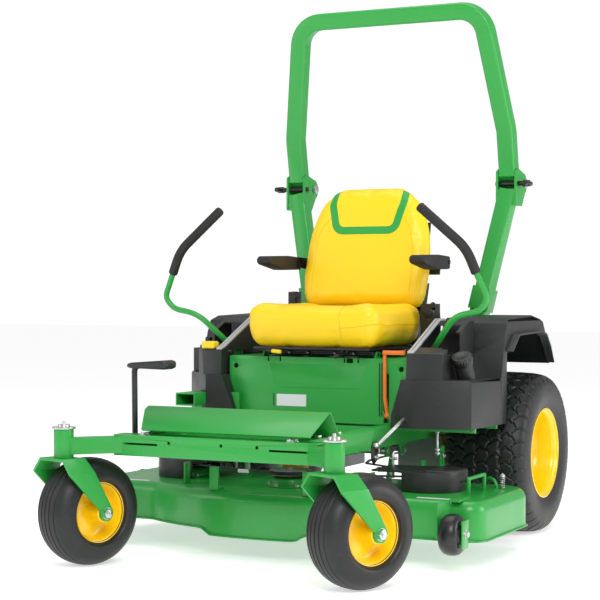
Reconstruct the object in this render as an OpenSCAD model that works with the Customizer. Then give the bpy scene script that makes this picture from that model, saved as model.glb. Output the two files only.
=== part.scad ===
// Zero turn mower: caster front axle, three-blade deck, sprung seat, twin lap bars,
// rear engine with two hydrostatic transaxles, and a folding roll bar.
// Working frame of the modules: X to the operator's left, Y to the rear, Z up,
// ground at Z = 0 and the drive axle above Y = 0. place() centres it on its footprint.

/* [Drive wheels] */
// Radius of the drive tyres
drive_r = 280; // [260:5:300]
// Width of the drive tyres
drive_w = 294; // [240:2:300]
// Distance from the centre plane to the middle of a drive tyre
drive_x = 487; // [484:1:520]

/* [Casters] */
// Radius of the caster tyres
caster_r = 165; // [140:1:168]
// Width of the caster tyres
caster_w = 148; // [110:2:170]
// Distance from the drive axle forward to the caster spindles
wheelbase = 1374; // [1340:2:1500]
// Distance from the centre plane to a caster spindle
spindle_x = 453; // [420:1:480]
// Trail of a caster wheel behind its spindle
trail = 94; // [80:1:100]
// Resting swivel of the left caster
left_swivel = 26; // [0:1:40]
// Resting swivel of the right caster
right_swivel = 18; // [0:1:40]

/* [Frame] */
// Height of the frame rails and of the front cross tube
rail_h = 64; // [50:1:72]
// Width of a frame rail
rail_w = 50; // [40:1:60]
// Height of the top of the frame rails
rail_top = 402; // [402:1:410]
// Distance from the drive axle to the rear face of the bumper
bumper_y = 446; // [440:2:480]

/* [Deck] */
// Half width of the deck shell
deck_x = 704; // [660:2:720]
// Height of the lower edge of the deck at rest
deck_z = 87; // [80:1:95]
// Height of the deck shell
deck_h = 121; // [110:1:125]
// Thickness of the deck steel
deck_t = 5; // [3:0.5:6]
// Length of a blade from its centre to its tip
blade_r = 220; // [180:1:224]
// Distance that the discharge chute reaches out from the deck
chute_reach = 172; // [120:2:180]

/* [Seat] */
// Width of the seat cushion
seat_w = 508; // [440:2:508]
// Depth of the seat cushion
seat_d = 466; // [400:2:480]
// Thickness of the seat cushion
seat_t = 130; // [100:1:134]
// Height of the top of the backrest
back_top = 1222; // [1150:2:1300]
// Length of an armrest
arm_len = 270; // [220:2:290]

/* [Roll bar] */
// Width of the roll bar tube
rops_w = 62; // [50:1:66]
// Height of the top of the roll bar
rops_top = 1887; // [1700:1:1950]
// Height of the fold hinge
hinge_z = 1238; // [1150:1:1250]
// Forward lean of the raised hoop, in degrees
rops_lean = 11.3; // [6:0.1:12]

/* [Controls] */
// Radius of the lap bar rod
bar_r = 10; // [8:0.5:12]
// Radius of the foam grip
grip_r = 16; // [13:0.5:18]

/* [Fits] */
// Radial clearance of a running fit
fit = 0.05; // [0.03:0.01:0.08]
// Gap between pieces that only face each other
gap = 0.3; // [0.2:0.05:0.5]

/* [Hidden] */
$fn = 64;
hex = 6;

green = [0.13, 0.55, 0.20];
yellow = [0.98, 0.80, 0.05];
charcoal = [0.17, 0.17, 0.18];
steel = [0.66, 0.67, 0.69];
rubber = [0.09, 0.09, 0.09];
grey = [0.72, 0.73, 0.74];
orange = [0.95, 0.45, 0.10];

rail_z = rail_top - rail_h;
rail_x = 235;
rail_end = 330;
axle_y = -wheelbase + 142;
axle_d = 64;
axle_x = 345;
spindle_r = 30;
spindle_low = rail_z - 3;
spindle_high = rail_top + 21;
kingpin_r = 13;
fork_in = caster_w / 2 + 10;
fork_t = 8;
fork_top = spindle_low - gap;
axle_pin_r = 10;
shoulder_r = 26;
front_y = -wheelbase + trail * cos(left_swivel) - (caster_r - shoulder_r) * cos(left_swivel)
  - (caster_w / 2 - shoulder_r - 2) * sin(left_swivel) - shoulder_r;
deck_front = -1000;
deck_rear = -372;
deck_lip = 7;
left_x = deck_x + deck_lip;
right_x = -deck_x - chute_reach;
mid_x = (left_x + right_x) / 2;
mid_y = (front_y + bumper_y) / 2;
deck_top = deck_z + deck_h;
blade_x = deck_x - 264;
blade_y = -625;
blade_front = -745;
panel_y = -550;
box_x = 333;
box_top = 620;
fender_x = 572;
fender_in = box_x + 10;
fender_t = 5;
fender_low = 400;
step_z = 556;
post_low = [rail_x + rail_w / 2, 74, rail_top];
hinge_y = 223;
leg_x = 426;
leg_y = 175;
post_top = [leg_x, leg_y, hinge_z - 25];
cheek = 8;
fold_pin_r = 10;
lock_pin_r = 9;
lock_y = 160;
arm_z = 500;
swing_pivot = [372, -445, 628];
seat_y = -640;
seat_z = 652;
tilt_y = -520;
tilt_z = 640;
lift_y = -500;
lift_z = 312;
lock_x = 254;
pedal_x = -328;
pedal_y = -1165;
pedal_z = 372;

// Moves the model so that its footprint is centred on the origin.
module place() translate([-mid_x, -mid_y, 0]) children();

module slab(a, b) translate(a) cube(b - a);

module both() for (s = [0, 1]) mirror([s, 0, 0]) children();

// Outline in Y and Z, pushed along X from x0 to x1.
module side_plate(points, x0, x1)
  translate([x0, 0, 0]) rotate([90, 0, 90]) linear_extrude(x1 - x0) polygon(points);

// Outline in X and Z, pushed along Y from y0 to y1.
module front_plate(points, y0, y1)
  translate([0, y1, 0]) rotate([90, 0, 0]) linear_extrude(y1 - y0) polygon(points);

// Outline in X and Y, pushed along Z from z0 to z1.
module flat_plate(points, z0, z1)
  translate([0, 0, z0]) linear_extrude(z1 - z0) polygon(points);

// Turns a shape that stands along Z so that it runs from p to q.
module along(p, q) {
  v = q - p;
  turn = atan2(v[1], v[0]);
  translate(p) rotate([0, 0, turn]) rotate([0, acos(v[2] / norm(v)), 0]) rotate([0, 0, -turn])
    children();
}

module rod(p, q, r) along(p, q) cylinder(r = r, h = norm(q - p));

module bent_rod(points, r) {
  for (i = [0 : len(points) - 2]) rod(points[i], points[i + 1], r);
  for (i = [1 : len(points) - 2]) translate(points[i]) sphere(r + 0.25);
}

module x_pin(x0, x1, y, z, r) translate([x0, y, z]) rotate([0, 90, 0]) cylinder(r = r, h = x1 - x0);

module rounded_square(w, r) {
  k = w / 2 - r;
  polygon(concat(arc(k, k, r, 0, 90, 4), arc(-k, k, r, 90, 180, 4), arc(-k, -k, r, 180, 270, 4),
    arc(k, -k, r, 270, 360, 4)));
}

module hex_bolt(r, head) {
  cylinder(r = r * 1.7, h = head, $fn = hex);
}

function arc(cx, cy, r, a0, a1, n) =
  [for (i = [0 : n]) [cx + r * cos(a0 + (a1 - a0) * i / n), cy + r * sin(a0 + (a1 - a0) * i / n)]];

// ---- Frame ----

module box_tube(a, b, wall, axis) {
  open = [for (i = [0 : 2]) i == axis ? -1 : wall];
  difference() {
    slab(a, b);
    slab(a + open, b - open);
  }
}

module main_frame() color(green) {
  both() difference() {
    box_tube([rail_x, axle_y + axle_d / 2, rail_z], [rail_x + rail_w, rail_end, rail_top], 4, 1);
    translate([rail_x + rail_w / 2, -900, rail_z - 1]) cylinder(r = 6, h = 10);
  }
  for (y = [-1000, panel_y - 20, -20]) {
    slab([-rail_x, y, rail_z + 6], [rail_x, y + 50, rail_top - 6]);
  }
  slab([-rail_x, rail_end - 60, rail_z + 6], [rail_x, rail_end, rail_top - 6]);
  both() slab([rail_x, rail_end, rail_z], [rail_x + 10, bumper_y - 40, rail_top + 30]);
  both() difference() {
    slab([rail_x, lift_y - 18, lift_z - 20], [rail_x + 6, lift_y + 18, rail_z + 1]);
    x_pin(rail_x - 1, rail_x + 7, lift_y, lift_z, 12 + fit);
  }
  box_tube([-300, bumper_y - 40, rail_top - 30], [300, bumper_y, rail_top + 30], 4, 0);
  difference() {
    union() {
      slab([-45, bumper_y - 90, rail_z], [45, bumper_y - 60, rail_z + 10]);
      slab([-45, bumper_y - 60, rail_z], [45, bumper_y - 5, rail_z + 10]);
      slab([-45, bumper_y - 30, rail_z + 10], [45, bumper_y - 22, rail_top - 30]);
    }
    translate([0, bumper_y - 55, rail_z - 1]) cylinder(r = 10, h = 12);
  }
  // Outrigger with an open end beside the seat box.
  slab([-460, panel_y - 24, rail_z + 20], [-rail_x - rail_w, panel_y - 10, rail_top + 93]);
  box_tube([-460, -700, rail_top + 50], [-386, panel_y - 24, rail_top + 93], 4, 1);
  // Pivot pin of the lift pedal.
  x_pin(-rail_x - rail_w - 64, -rail_x - rail_w + 4, pedal_y, pedal_z, 8);
  // Shelves that carry the fenders and the fuel tank.
  for (y = [-545, -340]) {
    slab([rail_x + rail_w, y, fender_low - 14], [fender_x - 10, y + 14, fender_low]);
    slab([y < -500 ? -400 : 10 - fender_x, y, fender_low - 14], [-rail_x - rail_w, y + 14, fender_low]);
  }
}

module front_axle() color(green) {
  difference() {
    box_tube([-axle_x, axle_y - axle_d / 2, rail_z], [axle_x, axle_y + axle_d / 2, rail_top], 5, 0);
    both() slab([190, axle_y - axle_d / 2 - 1, rail_z + 34], [axle_x - 10, axle_y - axle_d / 2 + 6, rail_z + 40]);
    for (x = [-150, 30, 150]) translate([x, axle_y, rail_z + 44]) rotate([90, 0, 0])
      cylinder(r = 5, h = axle_d);
  }
  both() difference() {
    union() {
      hull() {
        translate([axle_x - 20, axle_y - 4, rail_z + 7]) cylinder(r = 26, h = rail_h - 14, $fn = 32);
        translate([spindle_x, -wheelbase, rail_z + 7]) cylinder(r = 24, h = rail_h - 14, $fn = 32);
      }
      translate([spindle_x, -wheelbase, spindle_low])
        cylinder(r = spindle_r, h = spindle_high - spindle_low);
    }
    translate([spindle_x, -wheelbase, spindle_low - 1])
      cylinder(r = kingpin_r + fit, h = spindle_high - spindle_low + 2);
  }
}

module toe_guard() color(green) {
  front = axle_y - 18;
  ridge = axle_y + 122;
  back = axle_y + 196;
  difference() {
    side_plate([[front, rail_top + 16], [ridge - 8, rail_top + 79], [ridge + 8, rail_top + 79],
      [back, rail_top], [back - 5, rail_top], [ridge + 5, rail_top + 74], [ridge - 7, rail_top + 74],
      [front + 5, rail_top + 12]], -313, 315);
    front_plate([[-320, rail_top - 1], [-320, rail_top + 76], [-238, rail_top - 1]],
      front - 20, ridge - 8);
  }
  both() difference() {
    side_plate([[front + 30, rail_top], [front + 30, rail_top + 20], [ridge - 10, rail_top + 72],
      [ridge + 10, rail_top + 72], [back - 8, rail_top]], 240, 244);
    for (p = [[ridge - 30, 22], [ridge, 22], [ridge, 48]])
      x_pin(238, 246, p[0], rail_top + p[1], 6);
  }
}

module seat_box() color(green) {
  wall = 4;
  back = -58;
  // Room for the slide lever when the seat is tipped forward.
  lever_notch = [[110, panel_y - 2, box_top - 17], [134, panel_y + 24, box_top + 2]];
  difference() {
    slab([-box_x, panel_y, rail_top], [box_x, panel_y + wall, box_top]);
    for (x = [-185, -140, 100, 150]) slab([x, panel_y - 1, box_top - 16], [x + 6, panel_y + wall + 1, box_top + 1]);
    both() translate([box_x - 25, panel_y - 1, box_top - 34]) rotate([-90, 0, 0]) cylinder(r = 9, h = wall + 2);
    slab(lever_notch[0], lever_notch[1]);
    slab([lock_x - 10, panel_y - 1, rail_top + 6], [lock_x + 10, panel_y + wall + 1, box_top - 50]);
    slab([lock_x - 25, panel_y - 1, rail_top + 8], [lock_x - 20, panel_y + 1, box_top - 20]);
    // Pressed badge field with sloping ends.
    front_plate([[-178, box_top - 24], [186, box_top - 24], [150, box_top - 88], [-156, box_top - 88]],
      panel_y - 1, panel_y + 1.2);
    front_plate([[-150, box_top - 104], [150, box_top - 104], [150, box_top - 108], [-150, box_top - 108]],
      panel_y - 1, panel_y + 1);
  }
  both() slab([box_x - wall, panel_y + wall, rail_top], [box_x, back, box_top]);
  both() x_pin(box_x - wall, box_x + 64, swing_pivot[1], arm_z, 12);
  slab([-box_x, back, rail_top], [box_x, back + wall, box_top]);
  slab([wall - box_x, -345, rail_top], [box_x - wall, -145, rail_top + 3]);
  difference() {
    slab([-box_x, panel_y + wall, box_top - wall], [box_x, back, box_top]);
    slab([-230, panel_y + 120, box_top - 6], [230, back - 182, box_top + 1]);
    slab(lever_notch[0], lever_notch[1]);
  }
  both() difference() {
    side_plate([[tilt_y - 20, box_top], [tilt_y - 8, tilt_z + 2], [tilt_y + 10, tilt_z + 2],
      [tilt_y + 20, box_top]], 206, 212);
    x_pin(205, 213, tilt_y, tilt_z - 8, 6 + fit);
  }
}

module fender_block(g, out_y) {
  back = -300 - g * 3;
  edge = fender_x - g;
  // Lower nose up to the step.
  difference() {
    flat_plate([[292 + g, -600 + g], [385, -626 + g], [fender_x - 12 - g, out_y + g],
      [edge, back], [fender_in + g, back], [fender_in + g, panel_y - 6 + g], [292 + g, panel_y - 6 + g]],
      fender_low - (g > 0 ? 2 : 0), step_z - g);
    // The inner edge leans outward above the rod hole.
    front_plate([[270, fender_low + 38], [292 + g, fender_low + 38], [330 + g, step_z - 8], [330 + g, step_z + 5],
      [270, step_z + 5]], -640, panel_y);
  }
  // Upper nose that carries the lever slot.
  intersection() {
    side_plate([[-596 + g, step_z - 30], [-590 + g, 640 - g], [-560, 648 - g], [-345, 744 - g],
      [-300, 744 - g], [-300, step_z - 30]], fender_in + g, 468 - g);
    flat_plate([[fender_in, -616 + g], [385, -626 + g], [fender_x - 12 - g, out_y + g], [fender_x, -290],
      [fender_in, -290]], step_z - 31, 800);
  }
}

module fender_roof(g) {
  side_plate([[-300, fender_low - (g > 0 ? 20 : 0)], [-308 + g, fender_low - (g > 0 ? 20 : 0)],
    [-318 + g, step_z], [-286 + g, 690],
    [-262 + g, 736 - g], [-230, 752 - g], [60, 760 - g], [118 - g, 746 - g], [150 - g, 704],
    [206 - g, 600], [206 - g, 585 - (g > 0 ? 20 : 0)], [190, 585 - (g > 0 ? 20 : 0)],
    [150, 640 - (g > 0 ? 40 : 0)], [104, 684 - (g > 0 ? 40 : 0)], [60, 696 - (g > 0 ? 40 : 0)],
    [-190, 690 - (g > 0 ? 40 : 0)], [-262, 636 - (g > 0 ? 40 : 0)], [-268, fender_low - (g > 0 ? 20 : 0)]],
    fender_in + g, fender_x - g);
}

module fender(side) color(charcoal) mirror([side < 0 ? 1 : 0, 0, 0]) {
  bevel = 22;
  out_y = side > 0 ? -570 : -420;
  difference() {
    union() {
      fender_block(0, out_y);
      fender_roof(0);
    }
    fender_block(fender_t, out_y);
    fender_roof(fender_t);
    // Bevels along the outer edges.
    front_plate([[fender_x - bevel, 775], [fender_x - bevel, 759], [fender_x + 1, 735], [fender_x + 1, 775]],
      -340, 230);
    front_plate([[fender_x - bevel, step_z + 5], [fender_x - bevel, step_z], [fender_x + 1, step_z - 14],
      [fender_x + 1, step_z + 5]], -640, -322);
    // Room for the roll bar post and for the lap bar.
    slab([fender_in - 5, 30, fender_low], [404, 200, 800]);
    slab([366, -535, 600], [450, -372, 775]);
    slab([fender_in - 1, panel_y + 8, fender_low - 1], [fender_in + fender_t + 1, -312, 636]);
    slab([445, -545, 638], [470, -425, 775]);
    if (side < 0) {
      translate([398, -576, 600]) cylinder(r = 6 + fit, h = 60);
      slab([284, -577, fender_low - 1], [462, -557, rail_top + 96]);
      slab([383, -660, rail_top + 47], [462, -570, rail_top + 96]);
    }
    // Lift rod hole low in the nose.
    translate([322, -640, fender_low + 28]) rotate([-90, 0, 0]) cylinder(r = 9, h = 60);
  }
  // Raised lip along the wheel arch.
  side_plate([[-262, 640], [-190, 694], [60, 700], [104, 688], [150, 644], [190, 588], [196, 588],
    [156, 650], [108, 694], [60, 706], [-194, 700], [-268, 642]], fender_x - 2, fender_x + 22);
  if (side > 0) along([505, -470, step_z], [505, -500, step_z + 52]) difference() {
    cylinder(r = 30, h = norm([30, 52]));
    translate([0, 0, 12]) cylinder(r = 22, h = 60);
  }
}

module left_fender() fender(1);
module right_fender() fender(-1);

module lever_guides() color(grey) both() {
  for (x = [345, 357]) side_plate([[-588, 647], [-562, 655], [-347, 751], [-300, 751], [-300, 744 + gap],
    [-345, 744 + gap], [-560, 648 + gap], [-588, 640.6 + gap]], x, x + 8);
  side_plate([[-588, 646], [-572, 650], [-572, 645.2], [-588, 640.9]], 346, 364);
  slab([346, -320, 744.5], [364, -300.5, 750]);
}

module rops_posts() color(green) both() {
  low = post_low;
  high = post_top;
  difference() {
    union() {
      along(low, high) linear_extrude(norm(high - low)) rounded_square(rops_w, 8);
      slab([low[0] - 40, low[1] - 60, rail_top], [low[0] + 40, low[1] + 60, rail_top + 10]);
      slab([leg_x - rops_w / 2 - cheek - gap, leg_y - 31, high[2] - 58],
        [leg_x + rops_w / 2 + cheek + gap, leg_y + 31, high[2] + 1]);
      for (x = [leg_x - rops_w / 2 - cheek - gap, leg_x + rops_w / 2 + gap]) {
        side_plate([[leg_y - 34, hinge_z - 82], [leg_y - 34, hinge_z + 42], [leg_y - 10, hinge_z + 52],
          [hinge_y, hinge_z + 38], [hinge_y + 20, hinge_z - 30], [leg_y + 31, hinge_z - 82]], x, x + cheek);
        x_pin(x, x + cheek, hinge_y, hinge_z, 38);
      }
      x_pin(leg_x - rops_w / 2 - cheek - 3, leg_x + rops_w / 2 + cheek + 3, hinge_y, hinge_z, fold_pin_r);
    }
    x_pin(leg_x - 80, leg_x + 80, lock_y, hinge_z - 3, lock_pin_r + fit);
    slab([low[0] - 60, low[1] - 80, rail_top - 60], [low[0] + 60, low[1] + 80, rail_top]);
  }
  // Bolted sleeve between the fender tops.
  along(low + 0.46 * (high - low), low + 0.56 * (high - low))
    linear_extrude(0.1 * norm(high - low)) difference() {
      rounded_square(rops_w + 14, 8);
      rounded_square(rops_w - 2, 7);
    }
}

// Shape of the hoop, drawn straight up from the foot of each leg.
lean_in = 8.7;
low_r = 150;
high_r = 95;
straight = 150;
rise = (rops_top - hinge_z - 30 - rops_w / 2) / cos(rops_lean);
slope = (rise - straight - low_r * sin(lean_in) - high_r * (1 - sin(lean_in))) / cos(lean_in);
span = leg_x - low_r * (1 - cos(lean_in)) - slope * sin(lean_in) - high_r * cos(lean_in);
lap = 1;

// Straight run of the tube; it laps a little into the bends at its ends.
module tube_run(long) translate([0, 0, -lap]) linear_extrude(long + 2 * lap) rounded_square(rops_w, 10);

// A bend of the tube towards the centre plane, and what follows it.
module bend(r, a) {
  translate([-r, 0, 0]) rotate([90, 0, 0]) rotate_extrude(angle = a) translate([r, 0])
    rounded_square(rops_w - 0.4, 10);
  translate([-r, 0, 0]) rotate([0, -a, 0]) translate([r, 0, 0]) children();
}

module hoop_leg() {
  tube_run(straight);
  translate([0, 0, straight]) bend(low_r, lean_in) {
    tube_run(slope);
    translate([0, 0, slope]) bend(high_r, 90 - lean_in) {}
  }
}

module roll_bar() color(green) {
  translate([0, leg_y, hinge_z + 30]) rotate([rops_lean, 0, 0]) {
    both() translate([leg_x, 0, 0]) hoop_leg();
    translate([-span - lap, 0, rise]) rotate([0, 90, 0]) linear_extrude(2 * span + 2 * lap)
      rounded_square(rops_w, 10);
  }
  both() difference() {
    union() {
      side_plate([[leg_y - 31, hinge_z + 24], [leg_y - 28, hinge_z + 36], [leg_y + 30, hinge_z + 42],
        [hinge_y, hinge_z + 24], [hinge_y + 18, hinge_z], [hinge_y, hinge_z - 24], [leg_y + 16, hinge_z - 16],
        [leg_y + 2, hinge_z + 8]], leg_x - rops_w / 2 + 0.3, leg_x + rops_w / 2 - 0.3);
      x_pin(leg_x - rops_w / 2 + 0.2, leg_x + rops_w / 2 - 0.2, hinge_y, hinge_z, 24);
    }
    x_pin(leg_x - 60, leg_x + 60, hinge_y, hinge_z, fold_pin_r + fit);
  }
}

module lock_pin(side) color(charcoal) mirror([side < 0 ? 1 : 0, 0, 0]) {
  out = leg_x + rops_w / 2 + cheek + 22;
  x_pin(leg_x - rops_w / 2 - cheek - 6, out, lock_y, hinge_z - 3, lock_pin_r);
  x_pin(out, out + 22, lock_y, hinge_z - 3, 12);
  rod([out + 14, lock_y - 34, hinge_z - 3], [out + 14, lock_y + 34, hinge_z - 3], 9);
}
module left_lock_pin() lock_pin(1);
module right_lock_pin() lock_pin(-1);

// ---- Wheels ----

// Half of a tyre's outer outline, from the bead to the middle of the tread.
function tyre_half(r, w, ri, b, s) = concat(
  [[ri, s * (b - 1)], [ri + 10, s * (b - 1)], [ri + 14, s * (w / 2 - 9)],
   [ri + 0.45 * (r - ri), s * w / 2], [r - 30, s * (w / 2 - 2)]],
  [for (a = [15 : 15 : 90]) [r - shoulder_r + shoulder_r * sin(a),
    s * (w / 2 - shoulder_r - 2 + shoulder_r * cos(a))]]);

function reversed(v) = [for (i = [len(v) - 1 : -1 : 0]) v[i]];

// Tyre round the X axis; b is half the width between the beads.
module tyre(r, w, ri, b, wall) rotate([0, 90, 0]) difference() {
  rotate_extrude() polygon(concat(tyre_half(r, w, ri, b, 1), reversed(tyre_half(r, w, ri, b, -1))));
  rotate_extrude() polygon([[ri - 1, b - wall], [ri + 12, b - wall], [ri + 18, w / 2 - wall - 8],
    [r - 30, w / 2 - wall - 2], [r - wall, w / 2 - 34], [r - wall, -w / 2 + 34],
    [r - 30, -w / 2 + wall + 2], [ri + 18, -w / 2 + wall + 8], [ri + 12, -b + wall], [ri - 1, -b + wall]]);
}

// Pressed rim round the X axis with a dished disc and a bored hub.
module rim(ri, b, disc, dish, hub, bore, low, high) rotate([0, 90, 0]) rotate_extrude() {
  translate([ri - 6, -b]) square([6, 2 * b]);
  for (s = [-1, 1]) translate([ri - 6, s * (b + 3) - 3]) square([14, 6]);
  polygon([[hub - 2, disc - 4], [ri - 5, disc - 4 + dish], [ri - 5, disc + 4 + dish], [hub - 2, disc + 4]]);
  translate([bore, low]) square([hub - bore, high - low]);
}

caster_rim_r = 88;
caster_bead = 54;
drive_rim_r = 148;
drive_bead = 132;

module at_caster(side) translate([side * spindle_x, -wheelbase, 0])
  rotate([0, 0, side > 0 ? -left_swivel : -right_swivel]) children();

module caster_fork(side) color(green) at_caster(side) {
  foot = trail;
  half = fork_in + fork_t;
  flat = 58;
  drop = 40;
  difference() {
    intersection() {
      union() {
        front_plate([[-half, 0], [-half, fork_top - drop], [-flat, fork_top], [flat, fork_top],
          [half, fork_top - drop], [half, 0], [fork_in, 0], [fork_in, fork_top - drop - 3],
          [flat - 4, fork_top - fork_t], [4 - flat, fork_top - fork_t], [-fork_in, fork_top - drop - 3],
          [-fork_in, 0]], -100, foot + 60);
      }
      union() {
        side_plate([[-46, fork_top + 1], [36, fork_top + 1], [46, 296], [foot + 23, caster_r + 10],
          [foot + 20, caster_r - 12], [foot - 20, caster_r - 12], [foot - 23, caster_r + 8], [-46, 290]],
          -half - 1, half + 1);
        x_pin(-half - 1, half + 1, foot, caster_r, 24);
      }
    }
  }
  translate([0, 0, fork_top - fork_t + 1]) cylinder(r = kingpin_r, h = spindle_high - fork_top + fork_t - 3);
  x_pin(-half - 5, half + 5, foot, caster_r, axle_pin_r);
  for (s = [-1, 1]) translate([s * (half - 0.5), foot, caster_r]) rotate([0, s * 90, 0]) hex_bolt(axle_pin_r, 9);
}
module left_caster_fork() caster_fork(1);
module right_caster_fork() caster_fork(-1);

module caster_rim(side) color(yellow) at_caster(side) translate([0, trail, caster_r])
  rim(caster_rim_r, caster_bead, -4, 10, 24, axle_pin_r + fit, -fork_in + 1, fork_in - 1);
module left_caster_rim() caster_rim(1);
module right_caster_rim() caster_rim(-1);

module caster_tyre(side) color(rubber) at_caster(side) translate([0, trail, caster_r])
  tyre(caster_r, caster_w, caster_rim_r + gap / 2, caster_bead, 9);
module left_caster_tyre() caster_tyre(1);
module right_caster_tyre() caster_tyre(-1);

axle_shaft_r = 15;
disc_at = 20;
module drive_rim(side) color(yellow) mirror([side < 0 ? 1 : 0, 0, 0]) translate([drive_x, 0, drive_r]) {
  rim(drive_rim_r, drive_bead, disc_at, 34, 44, axle_shaft_r + fit, disc_at - 40, disc_at + 22);
  for (a = [0 : 72 : 288]) rotate([a, 0, 0]) translate([disc_at, 0, 58]) rotate([0, 90, 0]) hex_bolt(7, 22);
}
module left_drive_rim() drive_rim(1);
module right_drive_rim() drive_rim(-1);

module drive_tyre(side) color(rubber) translate([side * drive_x, 0, drive_r])
  tyre(drive_r, drive_w, drive_rim_r + gap / 2, drive_bead, 12);
module left_drive_tyre() drive_tyre(1);
module right_drive_tyre() drive_tyre(-1);

// ---- Lap bars ----

swing_r = 8;
module control_arm(side) color(steel) mirror([side < 0 ? 1 : 0, 0, 0]) {
  px = swing_pivot[0];
  py = swing_pivot[1];
  difference() {
    union() {
      x_pin(box_x + 2, box_x + 62, py, arm_z, 19);
      slab([px - 12, py - 14, arm_z + 10], [px + 12, py + 14, arm_z + 62]);
      slab([px - 16, py - 32, arm_z + 60], [px + 16, py + 32, arm_z + 76]);
      for (y = [py - 32, py + 24]) slab([px - 16, y, arm_z + 70], [px + 16, y + 8, swing_pivot[2] + 17]);
    }
    x_pin(box_x, box_x + 66, py, arm_z, 12 + fit);
  }
  translate([px, py + 36, swing_pivot[2]]) rotate([90, 0, 0]) cylinder(r = swing_r, h = 72);
}
module left_control_arm() control_arm(1);
module right_control_arm() control_arm(-1);

bar_path = [[swing_pivot[0], swing_pivot[1], swing_pivot[2] + 16], [480, -520, 762], [570, -527, 779],
  [602, -535, 818], [565, -545, 901], [532, -550, 982], [368, -552, 1122]];
module lap_bar(side) color(green) mirror([side < 0 ? 1 : 0, 0, 0]) {
  bent_rod(concat([for (i = [0 : 5]) bar_path[i]], [bar_path[5] + 0.9 * (bar_path[6] - bar_path[5])]), bar_r);
  translate([swing_pivot[0], swing_pivot[1] + 23, swing_pivot[2]]) rotate([90, 0, 0]) difference() {
    cylinder(r = 18, h = 46);
    translate([0, 0, -1]) cylinder(r = swing_r + fit, h = 48);
  }
}
module left_lap_bar() lap_bar(1);
module right_lap_bar() lap_bar(-1);

module lap_grip(side) color(rubber) mirror([side < 0 ? 1 : 0, 0, 0]) {
  for (k = [4, 5]) {
    run = (bar_path[k + 1] - bar_path[k]) / norm(bar_path[k + 1] - bar_path[k]);
    p = bar_path[k] + (k == 5 ? 5 : 0) * run;
    q = bar_path[k + 1] - (k == 4 ? 5 : 0) * run;
    difference() {
      rod(p, q, grip_r);
      rod(p - run, k == 4 ? q + run : q - 14 * run, bar_r + gap);
    }
  }
}
module left_lap_grip() lap_grip(1);
module right_lap_grip() lap_grip(-1);

// ---- Seat ----

recline = 12;
module at_back() translate([0, -215, 785]) rotate([-recline, 0, 0]) children();

// Outline with round corners between two corners, pulled in by g.
function round_outline(a, b, r, g) = concat(
  arc(b[0] - r, b[1] - r, r - g, 0, 90, 5), arc(a[0] + r, b[1] - r, r - g, 90, 180, 5),
  arc(a[0] + r, a[1] + r, r - g, 180, 270, 5), arc(b[0] - r, a[1] + r, r - g, 270, 360, 5));

module rounded_block(a, b, corner, r) hull() for (k = [0, 30, 60, 85]) {
  g = r * (1 - cos(k));
  rise = r * sin(k);
  flat_plate(round_outline(a, b, corner, g), a[2] + r - rise, a[2] + r - rise + 1);
  flat_plate(round_outline(a, b, corner, g), b[2] - r + rise - 1, b[2] - r + rise);
}

module seat_plate() color(charcoal) {
  slab([-200, tilt_y - 8, tilt_z - 4], [200, -150, tilt_z + 2]);
  difference() {
    both() slab([192, tilt_y - 7, tilt_z - 16], [200, tilt_y + 7, tilt_z]);
    x_pin(-201, 201, tilt_y, tilt_z - 8, 4);
  }
  x_pin(-214, 214, tilt_y, tilt_z - 8, 6);
  for (x = [-150, 150]) translate([x, -190, box_top + gap]) cylinder(r = 20, h = tilt_z - box_top - 3);
}

module seat_frame() color(charcoal) {
  top = seat_z + 3 - gap;
  both() slab([120, -500, tilt_z + 2 + gap], [150, -170, tilt_z + 8]);
  slab([-215, -600, tilt_z + 7], [215, -176, top]);
  both() side_plate([[-190, tilt_z + 7], [-112, tilt_z + 7], [-92, 790], [-64, 872], [-90, 872], [-117, 790],
    [-168, 700]], 196, 212);
  at_back() {
    slab([-212, 90, -55], [212, 98, 330]);
    slab([-262, 90, 140], [262, 98, 190]);
  }
  both() side_plate([[-170, 928], [-60, 922], [-70, 962], [-170, 966]], 256.5, 262);
  both() x_pin(258, 322, -150, 946, 8);
  // Belt retractor on the left, buckle on the right.
  slab([200, -250, tilt_z + 8], [302, -200, top]);
  slab([258, -262, tilt_z + 8], [302, -190, 800]);
  slab([-300, -290, tilt_z + 8], [-200, -250, top]);
  side_plate([[-288, tilt_z + 8], [-262, tilt_z + 8], [-152, 782], [-178, 782]], -272, -264);
  difference() {
    slab([-286, -196, 770], [-258, -146, 840]);
    slab([-280.5, -183.5, 814], [-263.5, -158.5, 844]);
  }
  slab([112, -592, tilt_z - 6], [116, -576, tilt_z + 8]);
  slab([128, -592, tilt_z - 6], [132, -576, tilt_z + 8]);
  x_pin(112, 132, -584, tilt_z, 4);
}

module seat_cushion() color(yellow)
  rounded_block([-seat_w / 2, seat_y, seat_z + 3], [seat_w / 2, seat_y + seat_d, seat_z + 3 + seat_t], 70, 42);

module seat_back() color(yellow) at_back() hull() {
  tall = (back_top - 785) / cos(recline) - 10;
  for (p = [[seat_w / 2 - 42, 46], [seat_w / 2 - 38, 250], [seat_w / 2 - 90, tall - 46]], s = [-1, 1])
    for (y = [44, 48]) translate([s * p[0], y, p[1]]) sphere(42, $fn = 24);
}

module armrest(side) color(charcoal) mirror([side < 0 ? 1 : 0, 0, 0]) difference() {
  side_plate([[-132, 922], [-132, 964], [-150 - arm_len + 10, 968], [-150 - arm_len, 958],
    [-150 - arm_len + 8, 946], [-250, 922]], 264, 318);
  x_pin(250, 330, -150, 946, 8 + fit);
}
module left_armrest() armrest(1);
module right_armrest() armrest(-1);

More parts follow.
